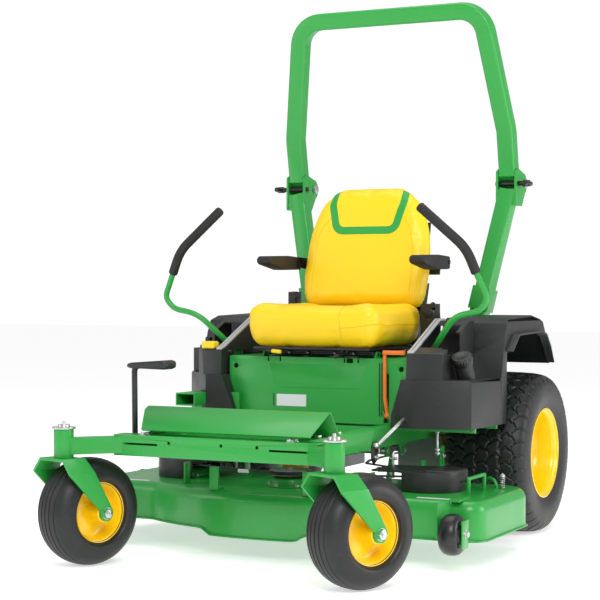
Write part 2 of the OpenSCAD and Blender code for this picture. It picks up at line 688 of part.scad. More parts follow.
module slide_lever() color(steel) {
  difference() {
    x_pin(116 + gap, 128 - gap, -584, tilt_z, 6.5);
    x_pin(110, 134, -584, tilt_z, 4 + fit);
  }
  rod([122, -590, tilt_z - 2], [122, -640, tilt_z - 10], 4);
  rod([122, -640, tilt_z - 10], [122, -664, tilt_z - 12], 7);
}

module buckle_button() color("red") slab([-280, -183, 822], [-264, -159, 841.5]);

// ---- Deck ----

// Bowed front of the deck and its wide rear, both pulled in by g.
bow = 837;
bow_half = 31;
shoulder_y = -877;
function deck_nose(g) = concat(
  arc(0, deck_front + bow, bow - g, 270 - bow_half, 270 + bow_half, 24), [[430 - g, -600], [g - 430, -600]]);
function deck_body(g) = let (k = deck_x - 60) concat(
  arc(k, shoulder_y + 60, 60 - g, -90, 0, 6),
  arc(deck_x - 100, deck_rear - 100, 100 - g, 0, 90, 6),
  arc(-deck_x + 100, deck_rear - 100, 100 - g, 90, 180, 6),
  arc(-k, shoulder_y + 60, 60 - g, 180, 270, 6));

module deck_plate(g, z0, z1) {
  flat_plate(deck_nose(g), z0, z1);
  flat_plate(deck_body(g), z0, z1);
}

module deck_form(g) {
  deck_plate(g, deck_z - (g > 0 ? 1 : 0), deck_top - 20);
  hull() {
    flat_plate(deck_nose(g), deck_top - 21, deck_top - 20);
    flat_plate(deck_nose(g + 8), deck_top - 8 - g, deck_top - 7 - g);
    flat_plate(deck_nose(g + 22), deck_top - 1 - g, deck_top - g);
  }
  hull() {
    flat_plate(deck_body(g), deck_top - 21, deck_top - 20);
    flat_plate(deck_body(g + 8), deck_top - 8 - g, deck_top - 7 - g);
    flat_plate(deck_body(g + 22), deck_top - 1 - g, deck_top - g);
  }
}

blade_places = [[blade_x, blade_y], [0, blade_front], [-blade_x, blade_y]];
shaft_r = 12;
housing_h = 30;
chute_y = [-790, -500];
chute_top = deck_top - 26;

module deck_shell() color(green) {
  difference() {
    union() {
      deck_form(0);
      deck_plate(-deck_lip, deck_z, deck_z + 5);
      for (p = blade_places) translate([p[0], p[1], deck_top - 1]) cylinder(r = 62, h = housing_h + 1);
    }
    deck_form(deck_t);
    deck_plate(deck_t, deck_z - 1, deck_z + 8);
    for (p = blade_places) translate([p[0], p[1], deck_z]) cylinder(r = shaft_r + fit, h = deck_h + 60);
    slab([-deck_x - deck_lip - 1, chute_y[0], deck_z - 1], [-deck_x + 60, chute_y[1], chute_top]);
  }
  intersection() {
    difference() {
      flat_plate(deck_nose(0), deck_z - 20, deck_z + 1);
      flat_plate(deck_nose(deck_t), deck_z - 21, deck_z + 2);
    }
    slab([-190, deck_front - 10, deck_z - 20], [165, deck_front + 40, deck_z + 1]);
  }
  // Hinge ears of the discharge chute.
  for (y = [chute_y[0] + 4, chute_y[1] - 12]) difference() {
    slab([-deck_x - 14, y, chute_top], [-deck_x + 4, y + 8, chute_top + 22]);
    translate([-deck_x - 7, y - 1, chute_top + 12]) rotate([-90, 0, 0]) cylinder(r = 4, h = 10);
  }
  translate([-deck_x - 7, chute_y[0] + 3, chute_top + 12]) rotate([-90, 0, 0])
    cylinder(r = 4, h = chute_y[1] - chute_y[0] - 6);
}

module discharge_chute() color(charcoal) {
  difference() {
    union() {
      translate([-deck_x - 7, chute_y[0] + 14, chute_top + 12]) rotate([-90, 0, 0])
        cylinder(r = 8, h = chute_y[1] - chute_y[0] - 28);
      front_plate([[-deck_x - 9, chute_top + 19], [-deck_x - 9, chute_top + 13],
        [right_x, deck_z + 22], [right_x, deck_z + 30]], chute_y[0] + 14, chute_y[1] - 14);
      for (y = [chute_y[0] + 14, chute_y[1] - 20])
        front_plate([[-deck_x - 13, chute_top + 13], [-deck_x - 13, deck_z + 12], [right_x, deck_z + 12],
          [right_x, deck_z + 28]], y, y + 6);
    }
    translate([-deck_x - 7, chute_y[0], chute_top + 12]) rotate([-90, 0, 0])
      cylinder(r = 4 + fit, h = chute_y[1] - chute_y[0]);
  }
}

wheel_at = [650, -975, 124];
deck_wheel_r = 62;
module deck_brackets() color(green) {
  both() {
    // Anti-scalp wheel carriers at the front corners.
    slab([wheel_at[0] - 46, -990, wheel_at[2] - 14], [wheel_at[0] - 40, -886, deck_top + 6]);
    slab([wheel_at[0] - 46, -890, deck_top + gap], [wheel_at[0] - 10, -800, deck_top + 6]);
    x_pin(wheel_at[0] - 46, wheel_at[0] + 40, wheel_at[1], wheel_at[2], 8);
    // Lift straps ahead of and behind the outer spindles.
    for (y = [-840, -420]) {
      slab([330, y - 16, deck_top + gap], [336, y + 16, deck_top + 70]);
      slab([336, y - 16, deck_top + gap], [360, y + 16, deck_top + 5]);
    }
    // Links beside the lift arms.
    side_plate([[lift_y + 60, deck_top + gap], [lift_y + 100, deck_top + gap], [lift_y + 116, lift_z - 12],
      [lift_y + 116, lift_z + 3], [lift_y + 96, lift_z + 3], [lift_y + 96, lift_z - 12]], 206, 212 - gap);
    // Front hanger bars.
    slab([150, -960, deck_top + gap], [180, -950, deck_top + 74]);
    slab([150, -960, deck_top + gap], [180, -920, deck_top + 5]);
  }
  // Loop handle on the left shoulder.
  bent_rod([[600, -700, deck_top + gap], [600, -700, deck_top + 50], [600, -560, deck_top + 50],
    [600, -560, deck_top + gap]], 6);
}

module belt_covers() color(charcoal) both() {
  top = deck_top + housing_h + 34;
  difference() {
    union() {
      translate([blade_x, blade_y, deck_top + gap]) cylinder(r = 112, h = top - deck_top - gap);
      slab([blade_x - 170, blade_y - 80, top - 6], [blade_x, blade_y + 90, top]);
    }
    translate([blade_x, blade_y, deck_top]) cylinder(r = 108, h = top - deck_top - 4);
    slab([blade_x - 171, blade_y - 95, deck_top - 1], [blade_x, blade_y + 95, top - 6]);
    for (i = [-3 : 3]) slab([blade_x - 60, blade_y + i * 22 - 3, top - 5], [blade_x + 60, blade_y + i * 22 + 3, top + 1]);
  }
}

pulley_z = deck_top + housing_h + 8;
module grooved_pulley(r, bore, z) translate([0, 0, z]) rotate_extrude()
  polygon([[bore, 0], [r, 0], [r, 3], [r - 16, 5], [r - 16, 11], [r, 13], [r, 16], [bore, 16]]);

module blade(i) color(steel) translate([blade_places[i][0], blade_places[i][1], 0]) {
  translate([0, 0, deck_z + 14]) cylinder(r = shaft_r, h = pulley_z - deck_z + 8);
  grooved_pulley(68, shaft_r - 1, pulley_z);
  translate([0, 0, deck_z + 12]) cylinder(r = 20, h = 8);
  slab([-blade_r, -30, deck_z + 20], [blade_r, 30, deck_z + 26]);
  for (s = [0, 1]) rotate([0, 0, 180 * s]) translate([blade_r - 90, 0, deck_z + 20])
    rotate([0, 90, 0]) linear_extrude(88) polygon([[0, 30], [-6, 30], [-26, 42], [-28, 38], [-2, 24]]);
}
module left_blade() blade(0);
module center_blade() blade(1);
module right_blade() blade(2);

module deck_wheel(side) color(rubber) mirror([side < 0 ? 1 : 0, 0, 0])
  translate([wheel_at[0] + 2, wheel_at[1], wheel_at[2]]) rotate([0, 90, 0]) rotate_extrude()
    polygon([[8 + fit, -32], [24, -32], [30, -28], [54, -28], [deck_wheel_r, -20], [deck_wheel_r, 20],
      [54, 28], [30, 28], [24, 32], [8 + fit, 32]]);
module left_deck_wheel() deck_wheel(1);
module right_deck_wheel() deck_wheel(-1);

// ---- Engine, drive and lift ----

crank = [0, 190];
deck_pulley_z = pulley_z;
drive_pulley_z = pulley_z + 44;
crank_r = 14;

module engine_block() color(steel) {
  difference() {
    union() {
      slab([-210, 30, rail_top - 6], [210, 330, rail_top + 8]);
      translate([crank[0], crank[1], rail_top + 8]) cylinder(r = 135, h = 190);
      translate([crank[0], crank[1], rail_top + 192]) cylinder(r = 166, h = 6);
      for (a = [140, -140]) translate([crank[0], crank[1], rail_top + 90]) rotate([0, 0, a])
        for (k = [0 : 7]) translate([0, 20, k * 13]) slab([-62, 70, 0], [62, 168, 7]);
      for (a = [140, -140]) translate([crank[0], crank[1], rail_top + 90]) rotate([0, 0, a])
        slab([-46, 60, 0], [46, 180, 96]);
    }
    translate([crank[0], crank[1], rail_top - 8]) cylinder(r = crank_r + fit, h = 70);
  }
}

module engine_shroud() color(charcoal) {
  base = rail_top + 198;
  difference() {
    translate([crank[0], crank[1], base]) cylinder(r = 168, h = 92);
    translate([crank[0], crank[1], base - 1]) cylinder(r = 162, h = 86);
    for (a = [0 : 15 : 345]) translate([crank[0], crank[1], base + 80]) rotate([0, 0, a])
      slab([60, -4, 0], [120, 4, 20]);
  }
  translate([crank[0], crank[1], base + 91]) cylinder(r1 = 60, r2 = 44, h = 16);
  // Air cleaner canister beside the blower housing.
  translate([-120, 260, base + 93]) rotate([0, 90, 0]) cylinder(r = 40, h = 200);
}

module muffler() color(steel) {
  y = bumper_y - 92;
  x_pin(-150, 150, y + 30, rail_top + 96, 56);
  rod([-100, y + 20, rail_top + 130], [-86, y - 36, rail_top + 150], 15);
  for (x = [-120, 110]) slab([x, y + 56, rail_top + 30], [x + 10, y + 80, rail_top + 62]);
}

module transaxles() color(steel) both() {
  slab([112, -110, 200], [280, 100, rail_z - 6]);
  slab([rail_x, -60, rail_z - 6], [280, 60, rail_z]);
  x_pin(270, drive_x - 90, 0, drive_r, 42);
  x_pin(drive_x - 92, drive_x + disc_at + 30, 0, drive_r, axle_shaft_r);
  translate([170, -20, rail_z - 8]) cylinder(r = 24, h = 12);
}

module fuel_tank() color(charcoal) {
  slab([412, -546, fender_low + 8], [fender_x - 24, -322, step_z - 17]);
  for (y = [-545, -340]) slab([430, y, fender_low], [540, y + 14, fender_low + 9]);
}

module battery() color(charcoal) {
  slab([-110, -330, rail_top + 3], [110, -160, rail_top + 172]);
  for (x = [-80, 80]) translate([x, -300, rail_top + 171]) cylinder(r = 9, h = 16);
}

module control_panel() color(charcoal) {
  difference() {
    slab([-540, -440, step_z], [-474, -330, 640]);
    slab([-514, -430, step_z + 20], [-500, -345, 645]);
    translate([-487, -358, 600]) cylinder(r = 8, h = 50);
  }
  x_pin(-516, -498, -390, step_z + 38, 5);
}

module throttle_lever() color(charcoal) difference() {
  union() {
    x_pin(-511, -503, -390, step_z + 38, 14);
    side_plate([[-396, step_z + 46], [-384, step_z + 46], [-386, 668], [-394, 668]], -510, -504);
    x_pin(-516, -498, -390, 668, 10);
  }
  x_pin(-530, -490, -390, step_z + 38, 5 + fit);
}

module pto_knob() color(yellow) {
  translate([-398, -576, 600]) cylinder(r = 6, h = 62);
  translate([-398, -576, 654]) cylinder(r = 15, h = 18);
}

module fuel_cap() color(charcoal) along([505, -470, step_z], [505, -500, step_z + 52]) {
  translate([0, 0, norm([30, 52]) + gap]) cylinder(r = 33, h = 18);
  translate([0, 0, norm([30, 52]) - 20]) cylinder(r = 22 - gap, h = 24);
}

module engine_pulley() color(steel) translate([crank[0], crank[1], 0]) {
  translate([0, 0, deck_pulley_z - 10]) cylinder(r = crank_r, h = rail_top + 50 - deck_pulley_z);
  grooved_pulley(62, crank_r - 1, deck_pulley_z);
  translate([0, 0, deck_pulley_z + 16]) cylinder(r = 56, h = 26);
  grooved_pulley(54, crank_r - 1, drive_pulley_z);
}

belt_r = 58;
belt_t = 4;

// Outline of the deck belt, grown by g: three spindles, two idler points and the engine pulley.
function belt_outline(g) = concat(
  arc(blade_places[0][0], blade_places[0][1], belt_r + g, -72, 108, 8),
  [[112 + g, -390], [84 + g, -300]],
  arc(crank[0], crank[1], 52 + g, 0, 180, 8),
  [[-84 - g, -300], [-112 - g, -390]],
  arc(blade_places[2][0], blade_places[2][1], belt_r + g, 72, 252, 8),
  arc(blade_places[1][0], blade_places[1][1], belt_r + g, 252, 288, 2));

module belts() color(rubber) {
  difference() {
    flat_plate(belt_outline(belt_t), pulley_z + 5, pulley_z + 11);
    flat_plate(belt_outline(-belt_t), pulley_z + 4, pulley_z + 12);
  }
}

module lift_pedal() color(charcoal) {
  difference() {
    x_pin(pedal_x - 10, pedal_x + 10, pedal_y, pedal_z, 16);
    x_pin(pedal_x - 20, pedal_x + 20, pedal_y, pedal_z, 8 + fit);
  }
  rod([pedal_x, pedal_y - 1, pedal_z + 12], [pedal_x, pedal_y - 8, 608], 7);
  translate([pedal_x + 56, pedal_y - 8, 598]) rotate([-8, 0, 0])
    flat_plate(concat(arc(52, 18, 18, 0, 90, 6), arc(-52, 18, 18, 90, 180, 6),
      arc(-52, -22, 18, 180, 270, 6), arc(52, -22, 18, 270, 360, 6)), 0, 24);
}

module lift_shaft() color(steel) {
  x_pin(-rail_x - 8, rail_x + 8, lift_y, lift_z, 12);
  for (s = [-1, 1]) difference() {
    side_plate([[lift_y - 20, lift_z - 10], [lift_y - 20, lift_z + 14], [lift_y + 14, lift_z + 20],
      [lift_y + 120, lift_z + 4], [lift_y + 120, lift_z - 10], [lift_y + 20, lift_z - 16]], s * 216 - 4, s * 216 + 4);
    x_pin(-240, 240, lift_y + 106, lift_z - 3, 5);
  }
}

module transport_lock() color(orange) difference() {
  union() {
    x_pin(lock_x - 7.5, lock_x + 7.5, panel_y + 14, rail_top + 30, 11);
    side_plate([[panel_y + 20, rail_top + 28], [panel_y + 8, rail_top + 24], [panel_y - 13, rail_top + 90],
      [panel_y - 16, 646], [panel_y - 6, 646], [panel_y - 3, rail_top + 94]], lock_x - 5, lock_x + 5);
    slab([lock_x - 5.5, panel_y - 18, 634], [lock_x + 72, panel_y - 5, 648]);
  }
  x_pin(lock_x - 20, lock_x + 20, panel_y + 14, rail_top + 30, 5 + fit);
}

// Bolts, caps and pins fixed to the chassis.
module hardware() color(steel) {
  both() {
    translate([spindle_x, -wheelbase, spindle_high]) cylinder(r = 36, h = 5);
    translate([spindle_x, -wheelbase, spindle_high + 5]) cylinder(r = 18, h = 8);
    translate([spindle_x, -wheelbase, spindle_high + 13]) cylinder(r = 5, h = 9);
    for (x = [leg_x - rops_w / 2 - cheek - 13, leg_x + rops_w / 2 + cheek + 3])
      translate([x, hinge_y, hinge_z]) rotate([0, 90, 0]) hex_bolt(fold_pin_r, 10);
    for (y = [-1080, -940]) translate([rail_x + rail_w / 2, y, rail_top]) hex_bolt(7, 7);
  }
  for (s = [-1, 1]) translate([lock_x + s * 11 - 2, panel_y + 4 + gap, rail_top]) cube([4, 22, 44]);
  x_pin(lock_x - 13, lock_x + 13, panel_y + 14, rail_top + 30, 5);
}

place() main_frame();
place() front_axle();
place() toe_guard();
place() seat_box();
place() left_fender();
place() right_fender();
place() lever_guides();
place() rops_posts();
place() engine_block();
place() engine_shroud();
place() muffler();
place() transaxles();
place() fuel_tank();
place() battery();
place() control_panel();
place() hardware();
place() left_caster_fork();
place() right_caster_fork();
place() left_caster_rim();
place() right_caster_rim();
place() left_caster_tyre();
place() right_caster_tyre();
place() left_drive_rim();
place() right_drive_rim();
place() left_drive_tyre();
place() right_drive_tyre();
place() left_control_arm();
place() right_control_arm();
place() left_lap_bar();
place() right_lap_bar();
place() left_lap_grip();
place() right_lap_grip();
place() roll_bar();
place() left_lock_pin();
place() right_lock_pin();
place() seat_plate();
place() seat_frame();
place() seat_cushion();
place() seat_back();
place() left_armrest();
place() right_armrest();
place() slide_lever();
place() buckle_button();
place() deck_shell();
place() deck_brackets();
place() belt_covers();
place() discharge_chute();
place() left_blade();
place() center_blade();
place() right_blade();
place() left_deck_wheel();
place() right_deck_wheel();
place() belts();
place() lift_pedal();
place() lift_shaft();
place() transport_lock();
place() fuel_cap();
place() pto_knob();
place() throttle_lever();
place() engine_pulley();
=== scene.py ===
import math
import bpy
import bmesh
import numpy as np
from mathutils import Matrix, Vector
from mathutils.bvhtree import BVHTree


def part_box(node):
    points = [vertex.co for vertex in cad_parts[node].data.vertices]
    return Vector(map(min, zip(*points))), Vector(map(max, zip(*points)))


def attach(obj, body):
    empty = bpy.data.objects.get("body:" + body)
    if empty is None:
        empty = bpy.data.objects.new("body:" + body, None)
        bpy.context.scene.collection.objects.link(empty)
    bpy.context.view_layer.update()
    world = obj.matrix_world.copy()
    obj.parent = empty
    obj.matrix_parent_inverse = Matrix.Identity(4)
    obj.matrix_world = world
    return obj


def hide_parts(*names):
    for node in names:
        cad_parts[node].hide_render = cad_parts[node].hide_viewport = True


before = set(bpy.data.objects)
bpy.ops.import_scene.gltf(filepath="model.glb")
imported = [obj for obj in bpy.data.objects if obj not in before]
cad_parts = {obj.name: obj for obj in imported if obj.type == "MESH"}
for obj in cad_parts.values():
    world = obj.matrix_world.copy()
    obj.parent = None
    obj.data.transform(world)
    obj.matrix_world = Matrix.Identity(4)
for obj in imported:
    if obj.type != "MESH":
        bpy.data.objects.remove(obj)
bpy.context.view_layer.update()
print("stage: frame loaded")

# The machine's own zero: middle of the roll bar across, rear axle lengthways, ground.
hoopLow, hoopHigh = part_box("roll_bar")
tyreLow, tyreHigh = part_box("left_drive_tyre")
zeroX = (hoopLow[0] + hoopHigh[0]) / 2
zeroY = (tyreLow[1] + tyreHigh[1]) / 2


def at(x, y, z):  # machine millimetres to frame metres
    return Vector((zeroX + x / 1000, zeroY + y / 1000, z / 1000))


# Camera, floor and lights.
view = {"azimuth": 26.247, "elevation": 0.513, "roll": 0.18, "lens": 97.66,
        "where": (2375.8, -5476.4, 836.7), "shift": (-0.0044, 0.0122), "sensor": 36, "reach": 60}
studio = {"floor": (0.95, 0.95, 0.95), "floorSize": 60, "floorRough": 0.85, "world": 0.46, "backdrop": 1.05,
          "glow": 0.52, "key": 150, "fill": 45, "side": 60, "top": 55}


def addCamera():
    az, el, roll = (math.radians(view[k]) for k in ("azimuth", "elevation", "roll"))
    right = Vector((math.cos(az), math.sin(az), 0))
    ahead = Vector((-math.sin(az) * math.cos(el), math.cos(az) * math.cos(el), -math.sin(el)))
    up = right.cross(ahead)
    r = right * math.cos(roll) + up * math.sin(roll)
    u = -right * math.sin(roll) + up * math.cos(roll)
    data = bpy.data.cameras.new("camera")
    data.lens, data.sensor_width, data.clip_end = view["lens"], view["sensor"], view["reach"]
    data.shift_x, data.shift_y = view["shift"]
    cam = bpy.data.objects.new("camera", data)
    place = Matrix((r, u, -ahead)).transposed().to_4x4()
    place.translation = at(*view["where"])
    cam.matrix_world = place
    bpy.context.collection.objects.link(cam)
    bpy.context.scene.camera = cam


def addLight(name, where, target, size, watts, tint=(1, 1, 1)):
    data = bpy.data.lights.new(name, "AREA")
    data.shape, data.size, data.energy, data.color = "DISK", size, watts, tint
    lamp = bpy.data.objects.new(name, data)
    lamp.location = where
    lamp.rotation_euler = (Vector(target) - Vector(where)).to_track_quat("-Z", "Y").to_euler()
    bpy.context.collection.objects.link(lamp)


def addStudio():
    world = bpy.data.worlds.new("studio")
    bpy.context.scene.world = world
    world.use_nodes = True
    back = world.node_tree.nodes["Background"]
    back.inputs[0].default_value = (1, 1, 1, 1)
    seen = world.node_tree.nodes.new("ShaderNodeLightPath")
    level = world.node_tree.nodes.new("ShaderNodeMapRange")  # white behind the machine, softer as a light
    level.inputs["To Min"].default_value = studio["world"]
    level.inputs["To Max"].default_value = studio["backdrop"]
    world.node_tree.links.new(seen.outputs["Is Camera Ray"], level.inputs["Value"])
    world.node_tree.links.new(level.outputs["Result"], back.inputs[1])
    bpy.context.scene.view_settings.view_transform = "Standard"
    addLight("key", (2.6, -4.2, 3.6), (0, 0, 0.6), 2.6, studio["key"])
    addLight("fill", (-3.6, -3.4, 2.2), (0, 0, 0.7), 3.0, studio["fill"])
    addLight("side", (4.4, 1.0, 1.6), (0, 0, 0.6), 2.2, studio["side"])
    addLight("top", (0, 0.4, 4.4), (0, 0, 0.5), 3.0, studio["top"])
    bpy.ops.mesh.primitive_plane_add(size=studio["floorSize"])
    floor = bpy.context.object
    floor.name = "floor"
    mat = bpy.data.materials.new("floorPaper")
    mat.use_nodes = True
    shader = mat.node_tree.nodes["Principled BSDF"]
    shader.inputs["Base Color"].default_value = (*studio["floor"], 1)
    shader.inputs["Roughness"].default_value = studio["floorRough"]
    shader.inputs["Emission Color"].default_value = (1, 1, 1, 1)
    shader.inputs["Emission Strength"].default_value = studio["glow"]
    floor.data.materials.append(mat)


addCamera()
addStudio()
print("stage: studio")


# Shared surface effects.
def newGroup(name, ins, outs):
    g = bpy.data.node_groups.new(name, "ShaderNodeTree")
    for label, kind, value in ins:
        s = g.interface.new_socket(label, in_out="INPUT", socket_type=kind)
        s.default_value = value
    for label, kind in outs:
        g.interface.new_socket(label, in_out="OUTPUT", socket_type=kind)
    return g, g.nodes.new("NodeGroupInput"), g.nodes.new("NodeGroupOutput")


def coords(g):
    return g.nodes.new("ShaderNodeTexCoord").outputs["Object"]


def mathNode(g, op, a, b, clamp=False):
    n = g.nodes.new("ShaderNodeMath")
    n.operation, n.use_clamp = op, clamp
    for k, v in enumerate((a, b)):
        if isinstance(v, (int, float)):
            n.inputs[k].default_value = v
        elif v is not None:
            g.links.new(v, n.inputs[k])
    return n.outputs[0]


def tintGroup():  # slow colour drift plus a little dust in fine random patches
    g, i, o = newGroup("tintDrift", [("Color", "NodeSocketColor", (1, 1, 1, 1)),
                                     ("Drift", "NodeSocketFloat", 0.1),
                                     ("Scale", "NodeSocketFloat", 4.0), ("Dust", "NodeSocketFloat", 0.05)],
                       [("Color", "NodeSocketColor")])
    n = g.nodes.new("ShaderNodeTexNoise")
    n.inputs["Detail"].default_value = 4
    g.links.new(coords(g), n.inputs["Vector"])
    g.links.new(i.outputs["Scale"], n.inputs["Scale"])
    swing = mathNode(g, "MULTIPLY", mathNode(g, "SUBTRACT", n.outputs["Fac"], 0.5), i.outputs["Drift"])
    hsv = g.nodes.new("ShaderNodeHueSaturation")
    g.links.new(mathNode(g, "ADD", swing, 1.0), hsv.inputs["Value"])
    g.links.new(i.outputs["Color"], hsv.inputs["Color"])
    fine = g.nodes.new("ShaderNodeTexNoise")
    fine.inputs["Scale"].default_value = 60
    fine.inputs["Detail"].default_value = 6
    g.links.new(coords(g), fine.inputs["Vector"])
    mask = mathNode(g, "MULTIPLY", mathNode(g, "SUBTRACT", fine.outputs["Fac"], 0.52, True),
                    i.outputs["Dust"])
    mix = g.nodes.new("ShaderNodeMix")
    mix.data_type = "RGBA"
    g.links.new(mathNode(g, "MULTIPLY", mask, 6.0, True), mix.inputs["Factor"])
    g.links.new(hsv.outputs["Color"], mix.inputs["A"])
    mix.inputs["B"].default_value = (0.42, 0.38, 0.3, 1)
    g.links.new(mix.outputs["Result"], o.inputs["Color"])
    return g


def sheenGroup():  # roughness that wanders between two values
    g, i, o = newGroup("roughDrift", [("Low", "NodeSocketFloat", 0.3), ("High", "NodeSocketFloat", 0.4),
                                      ("Scale", "NodeSocketFloat", 8.0)],
                                      [("Roughness", "NodeSocketFloat")])
    n = g.nodes.new("ShaderNodeTexNoise")
    n.inputs["Detail"].default_value = 5
    g.links.new(coords(g), n.inputs["Vector"])
    g.links.new(i.outputs["Scale"], n.inputs["Scale"])
    r = g.nodes.new("ShaderNodeMapRange")
    r.inputs["From Min"].default_value, r.inputs["From Max"].default_value = 0.3, 0.7
    g.links.new(n.outputs["Fac"], r.inputs["Value"])
    g.links.new(i.outputs["Low"], r.inputs["To Min"])
    g.links.new(i.outputs["High"], r.inputs["To Max"])
    g.links.new(r.outputs["Result"], o.inputs["Roughness"])
    return g


def grainGroup():  # pebbled grain for moulded plastic, vinyl and foam
    g, i, o = newGroup("pebbleGrain", [("Scale", "NodeSocketFloat", 900.0),
                                       ("Fine", "NodeSocketFloat", 0.3)],
                       [("Height", "NodeSocketFloat")])
    v = g.nodes.new("ShaderNodeTexVoronoi")
    v.feature = "SMOOTH_F1"
    g.links.new(coords(g), v.inputs["Vector"])
    g.links.new(i.outputs["Scale"], v.inputs["Scale"])
    n = g.nodes.new("ShaderNodeTexNoise")
    g.links.new(coords(g), n.inputs["Vector"])
    g.links.new(mathNode(g, "MULTIPLY", i.outputs["Scale"], 0.6), n.inputs["Scale"])
    g.links.new(mathNode(g, "ADD", v.outputs["Distance"],
                         mathNode(g, "MULTIPLY", n.outputs["Fac"], i.outputs["Fine"])),
                o.inputs["Height"])
    return g


def brushGroup():  # fine directionless scratches for bare metal
    g, i, o = newGroup("metalScratch", [("Scale", "NodeSocketFloat", 40.0)],
                       [("Height", "NodeSocketFloat")])
    m = g.nodes.new("ShaderNodeMapping")
    m.inputs["Scale"].default_value = (1, 1, 14)
    g.links.new(coords(g), m.inputs["Vector"])
    n = g.nodes.new("ShaderNodeTexNoise")
    n.inputs["Detail"].default_value = 8
    g.links.new(m.outputs["Vector"], n.inputs["Vector"])
    g.links.new(i.outputs["Scale"], n.inputs["Scale"])
    g.links.new(n.outputs["Fac"], o.inputs["Height"])
    return g


surface = {"coatRough": 0.12, "bumpStrength": 0.6, "sharpAngle": 38, "edgeAngle": 35, "weld": 0.00002}
effects = {"tint": tintGroup(), "rough": sheenGroup(), "grain": grainGroup(), "scratch": brushGroup()}

# name: colour, rough low, rough high, metal, coat, grain size, bump mm, colour drift, dust
finishes = {
    "greenPaint": ((0.018, 0.33, 0.045), 0.34, 0.46, 0, 0.18, 220, 0.05, 0.10, 0.02),
    "deckGreen": ((0.018, 0.33, 0.045), 0.28, 0.40, 0, 0.25, 160, 0.06, 0.12, 0.03),
    "yellowPaint": ((0.98, 0.62, 0.003), 0.22, 0.34, 0, 0.4, 240, 0.04, 0.06, 0.01),
    "yellowVinyl": ((0.98, 0.63, 0.004), 0.40, 0.52, 0, 0.08, 700, 0.10, 0.06, 0.0),
    "yellowPlastic": ((0.96, 0.66, 0.01), 0.35, 0.45, 0, 0.1, 500, 0.03, 0.04, 0.0),
    "seatSeam": ((0.80, 0.47, 0.002), 0.5, 0.6, 0, 0.0, 700, 0.05, 0.05, 0.0),
    "greenTrim": ((0.018, 0.33, 0.045), 0.42, 0.54, 0, 0.05, 700, 0.10, 0.06, 0.0),
    "blackPaint": ((0.007, 0.007, 0.0075), 0.32, 0.46, 0, 0.15, 220, 0.05, 0.2, 0.03),
    "blackPlastic": ((0.016, 0.0165, 0.0175), 0.40, 0.50, 0, 0.0, 620, 0.12, 0.08, 0.01),
    "smoothBlack": ((0.009, 0.009, 0.0095), 0.28, 0.4, 0, 0.0, 300, 0.05, 0.12, 0.02),
    "greyPlastic": ((0.46, 0.47, 0.48), 0.38, 0.5, 0, 0.0, 500, 0.06, 0.05, 0.0),
    "tyreRubber": ((0.008, 0.0085, 0.009), 0.40, 0.52, 0, 0.0, 420, 0.08, 0.12, 0.012),
    "foam": ((0.012, 0.012, 0.0125), 0.6, 0.75, 0, 0.0, 500, 0.18, 0.1, 0.0),
    "zincSteel": ((0.62, 0.62, 0.63), 0.26, 0.4, 1, 0.0, 300, 0.03, 0.08, 0.0),
    "darkSteel": ((0.18, 0.18, 0.19), 0.38, 0.55, 1, 0.0, 300, 0.05, 0.2, 0.02),
    "castMetal": ((0.23, 0.235, 0.24), 0.5, 0.66, 0.8, 0.0, 380, 0.22, 0.2, 0.03),
    "orangePaint": ((0.90, 0.19, 0.02), 0.34, 0.44, 0, 0.2, 220, 0.04, 0.05, 0.0),
    "redPlastic": ((0.72, 0.015, 0.03), 0.3, 0.4, 0, 0.1, 400, 0.02, 0.03, 0.0),
    "labelWhite": ((0.75, 0.76, 0.78), 0.35, 0.45, 0, 0.0, 200, 0.01, 0.05, 0.0),
    "tank": ((0.014, 0.014, 0.015), 0.4, 0.5, 0, 0.0, 400, 0.06, 0.1, 0.03),
}
made = {}


def finish(name):
    if name in made:
        return made[name]
    colour, low, high, metal, coat, grain, bump, drift, dust = finishes[name]
    mat = bpy.data.materials.new(name)
    mat.use_nodes = True
    mat.diffuse_color = (*colour, 1)
    t = mat.node_tree
    p = t.nodes["Principled BSDF"]
    p.inputs["Metallic"].default_value = metal
    p.inputs["Coat Weight"].default_value = coat
    p.inputs["Coat Roughness"].default_value = surface["coatRough"]
    tint = t.nodes.new("ShaderNodeGroup")
    tint.node_tree = effects["tint"]
    tint.inputs["Color"].default_value = (*colour, 1)
    tint.inputs["Drift"].default_value = drift
    tint.inputs["Dust"].default_value = dust
    t.links.new(tint.outputs["Color"], p.inputs["Base Color"])
    rough = t.nodes.new("ShaderNodeGroup")
    rough.node_tree = effects["rough"]
    rough.inputs["Low"].default_value, rough.inputs["High"].default_value = low, high
    t.links.new(rough.outputs["Roughness"], p.inputs["Roughness"])
    relief = t.nodes.new("ShaderNodeGroup")
    relief.node_tree = effects["scratch"] if metal == 1 else effects["grain"]
    relief.inputs["Scale"].default_value = grain if metal < 1 else grain / 8
    b = t.nodes.new("ShaderNodeBump")
    b.inputs["Distance"].default_value = bump / 1000
    b.inputs["Strength"].default_value = surface["bumpStrength"]
    t.links.new(relief.outputs["Height"], b.inputs["Height"])
    t.links.new(b.outputs["Normal"], p.inputs["Normal"])
    made[name] = mat
    return mat


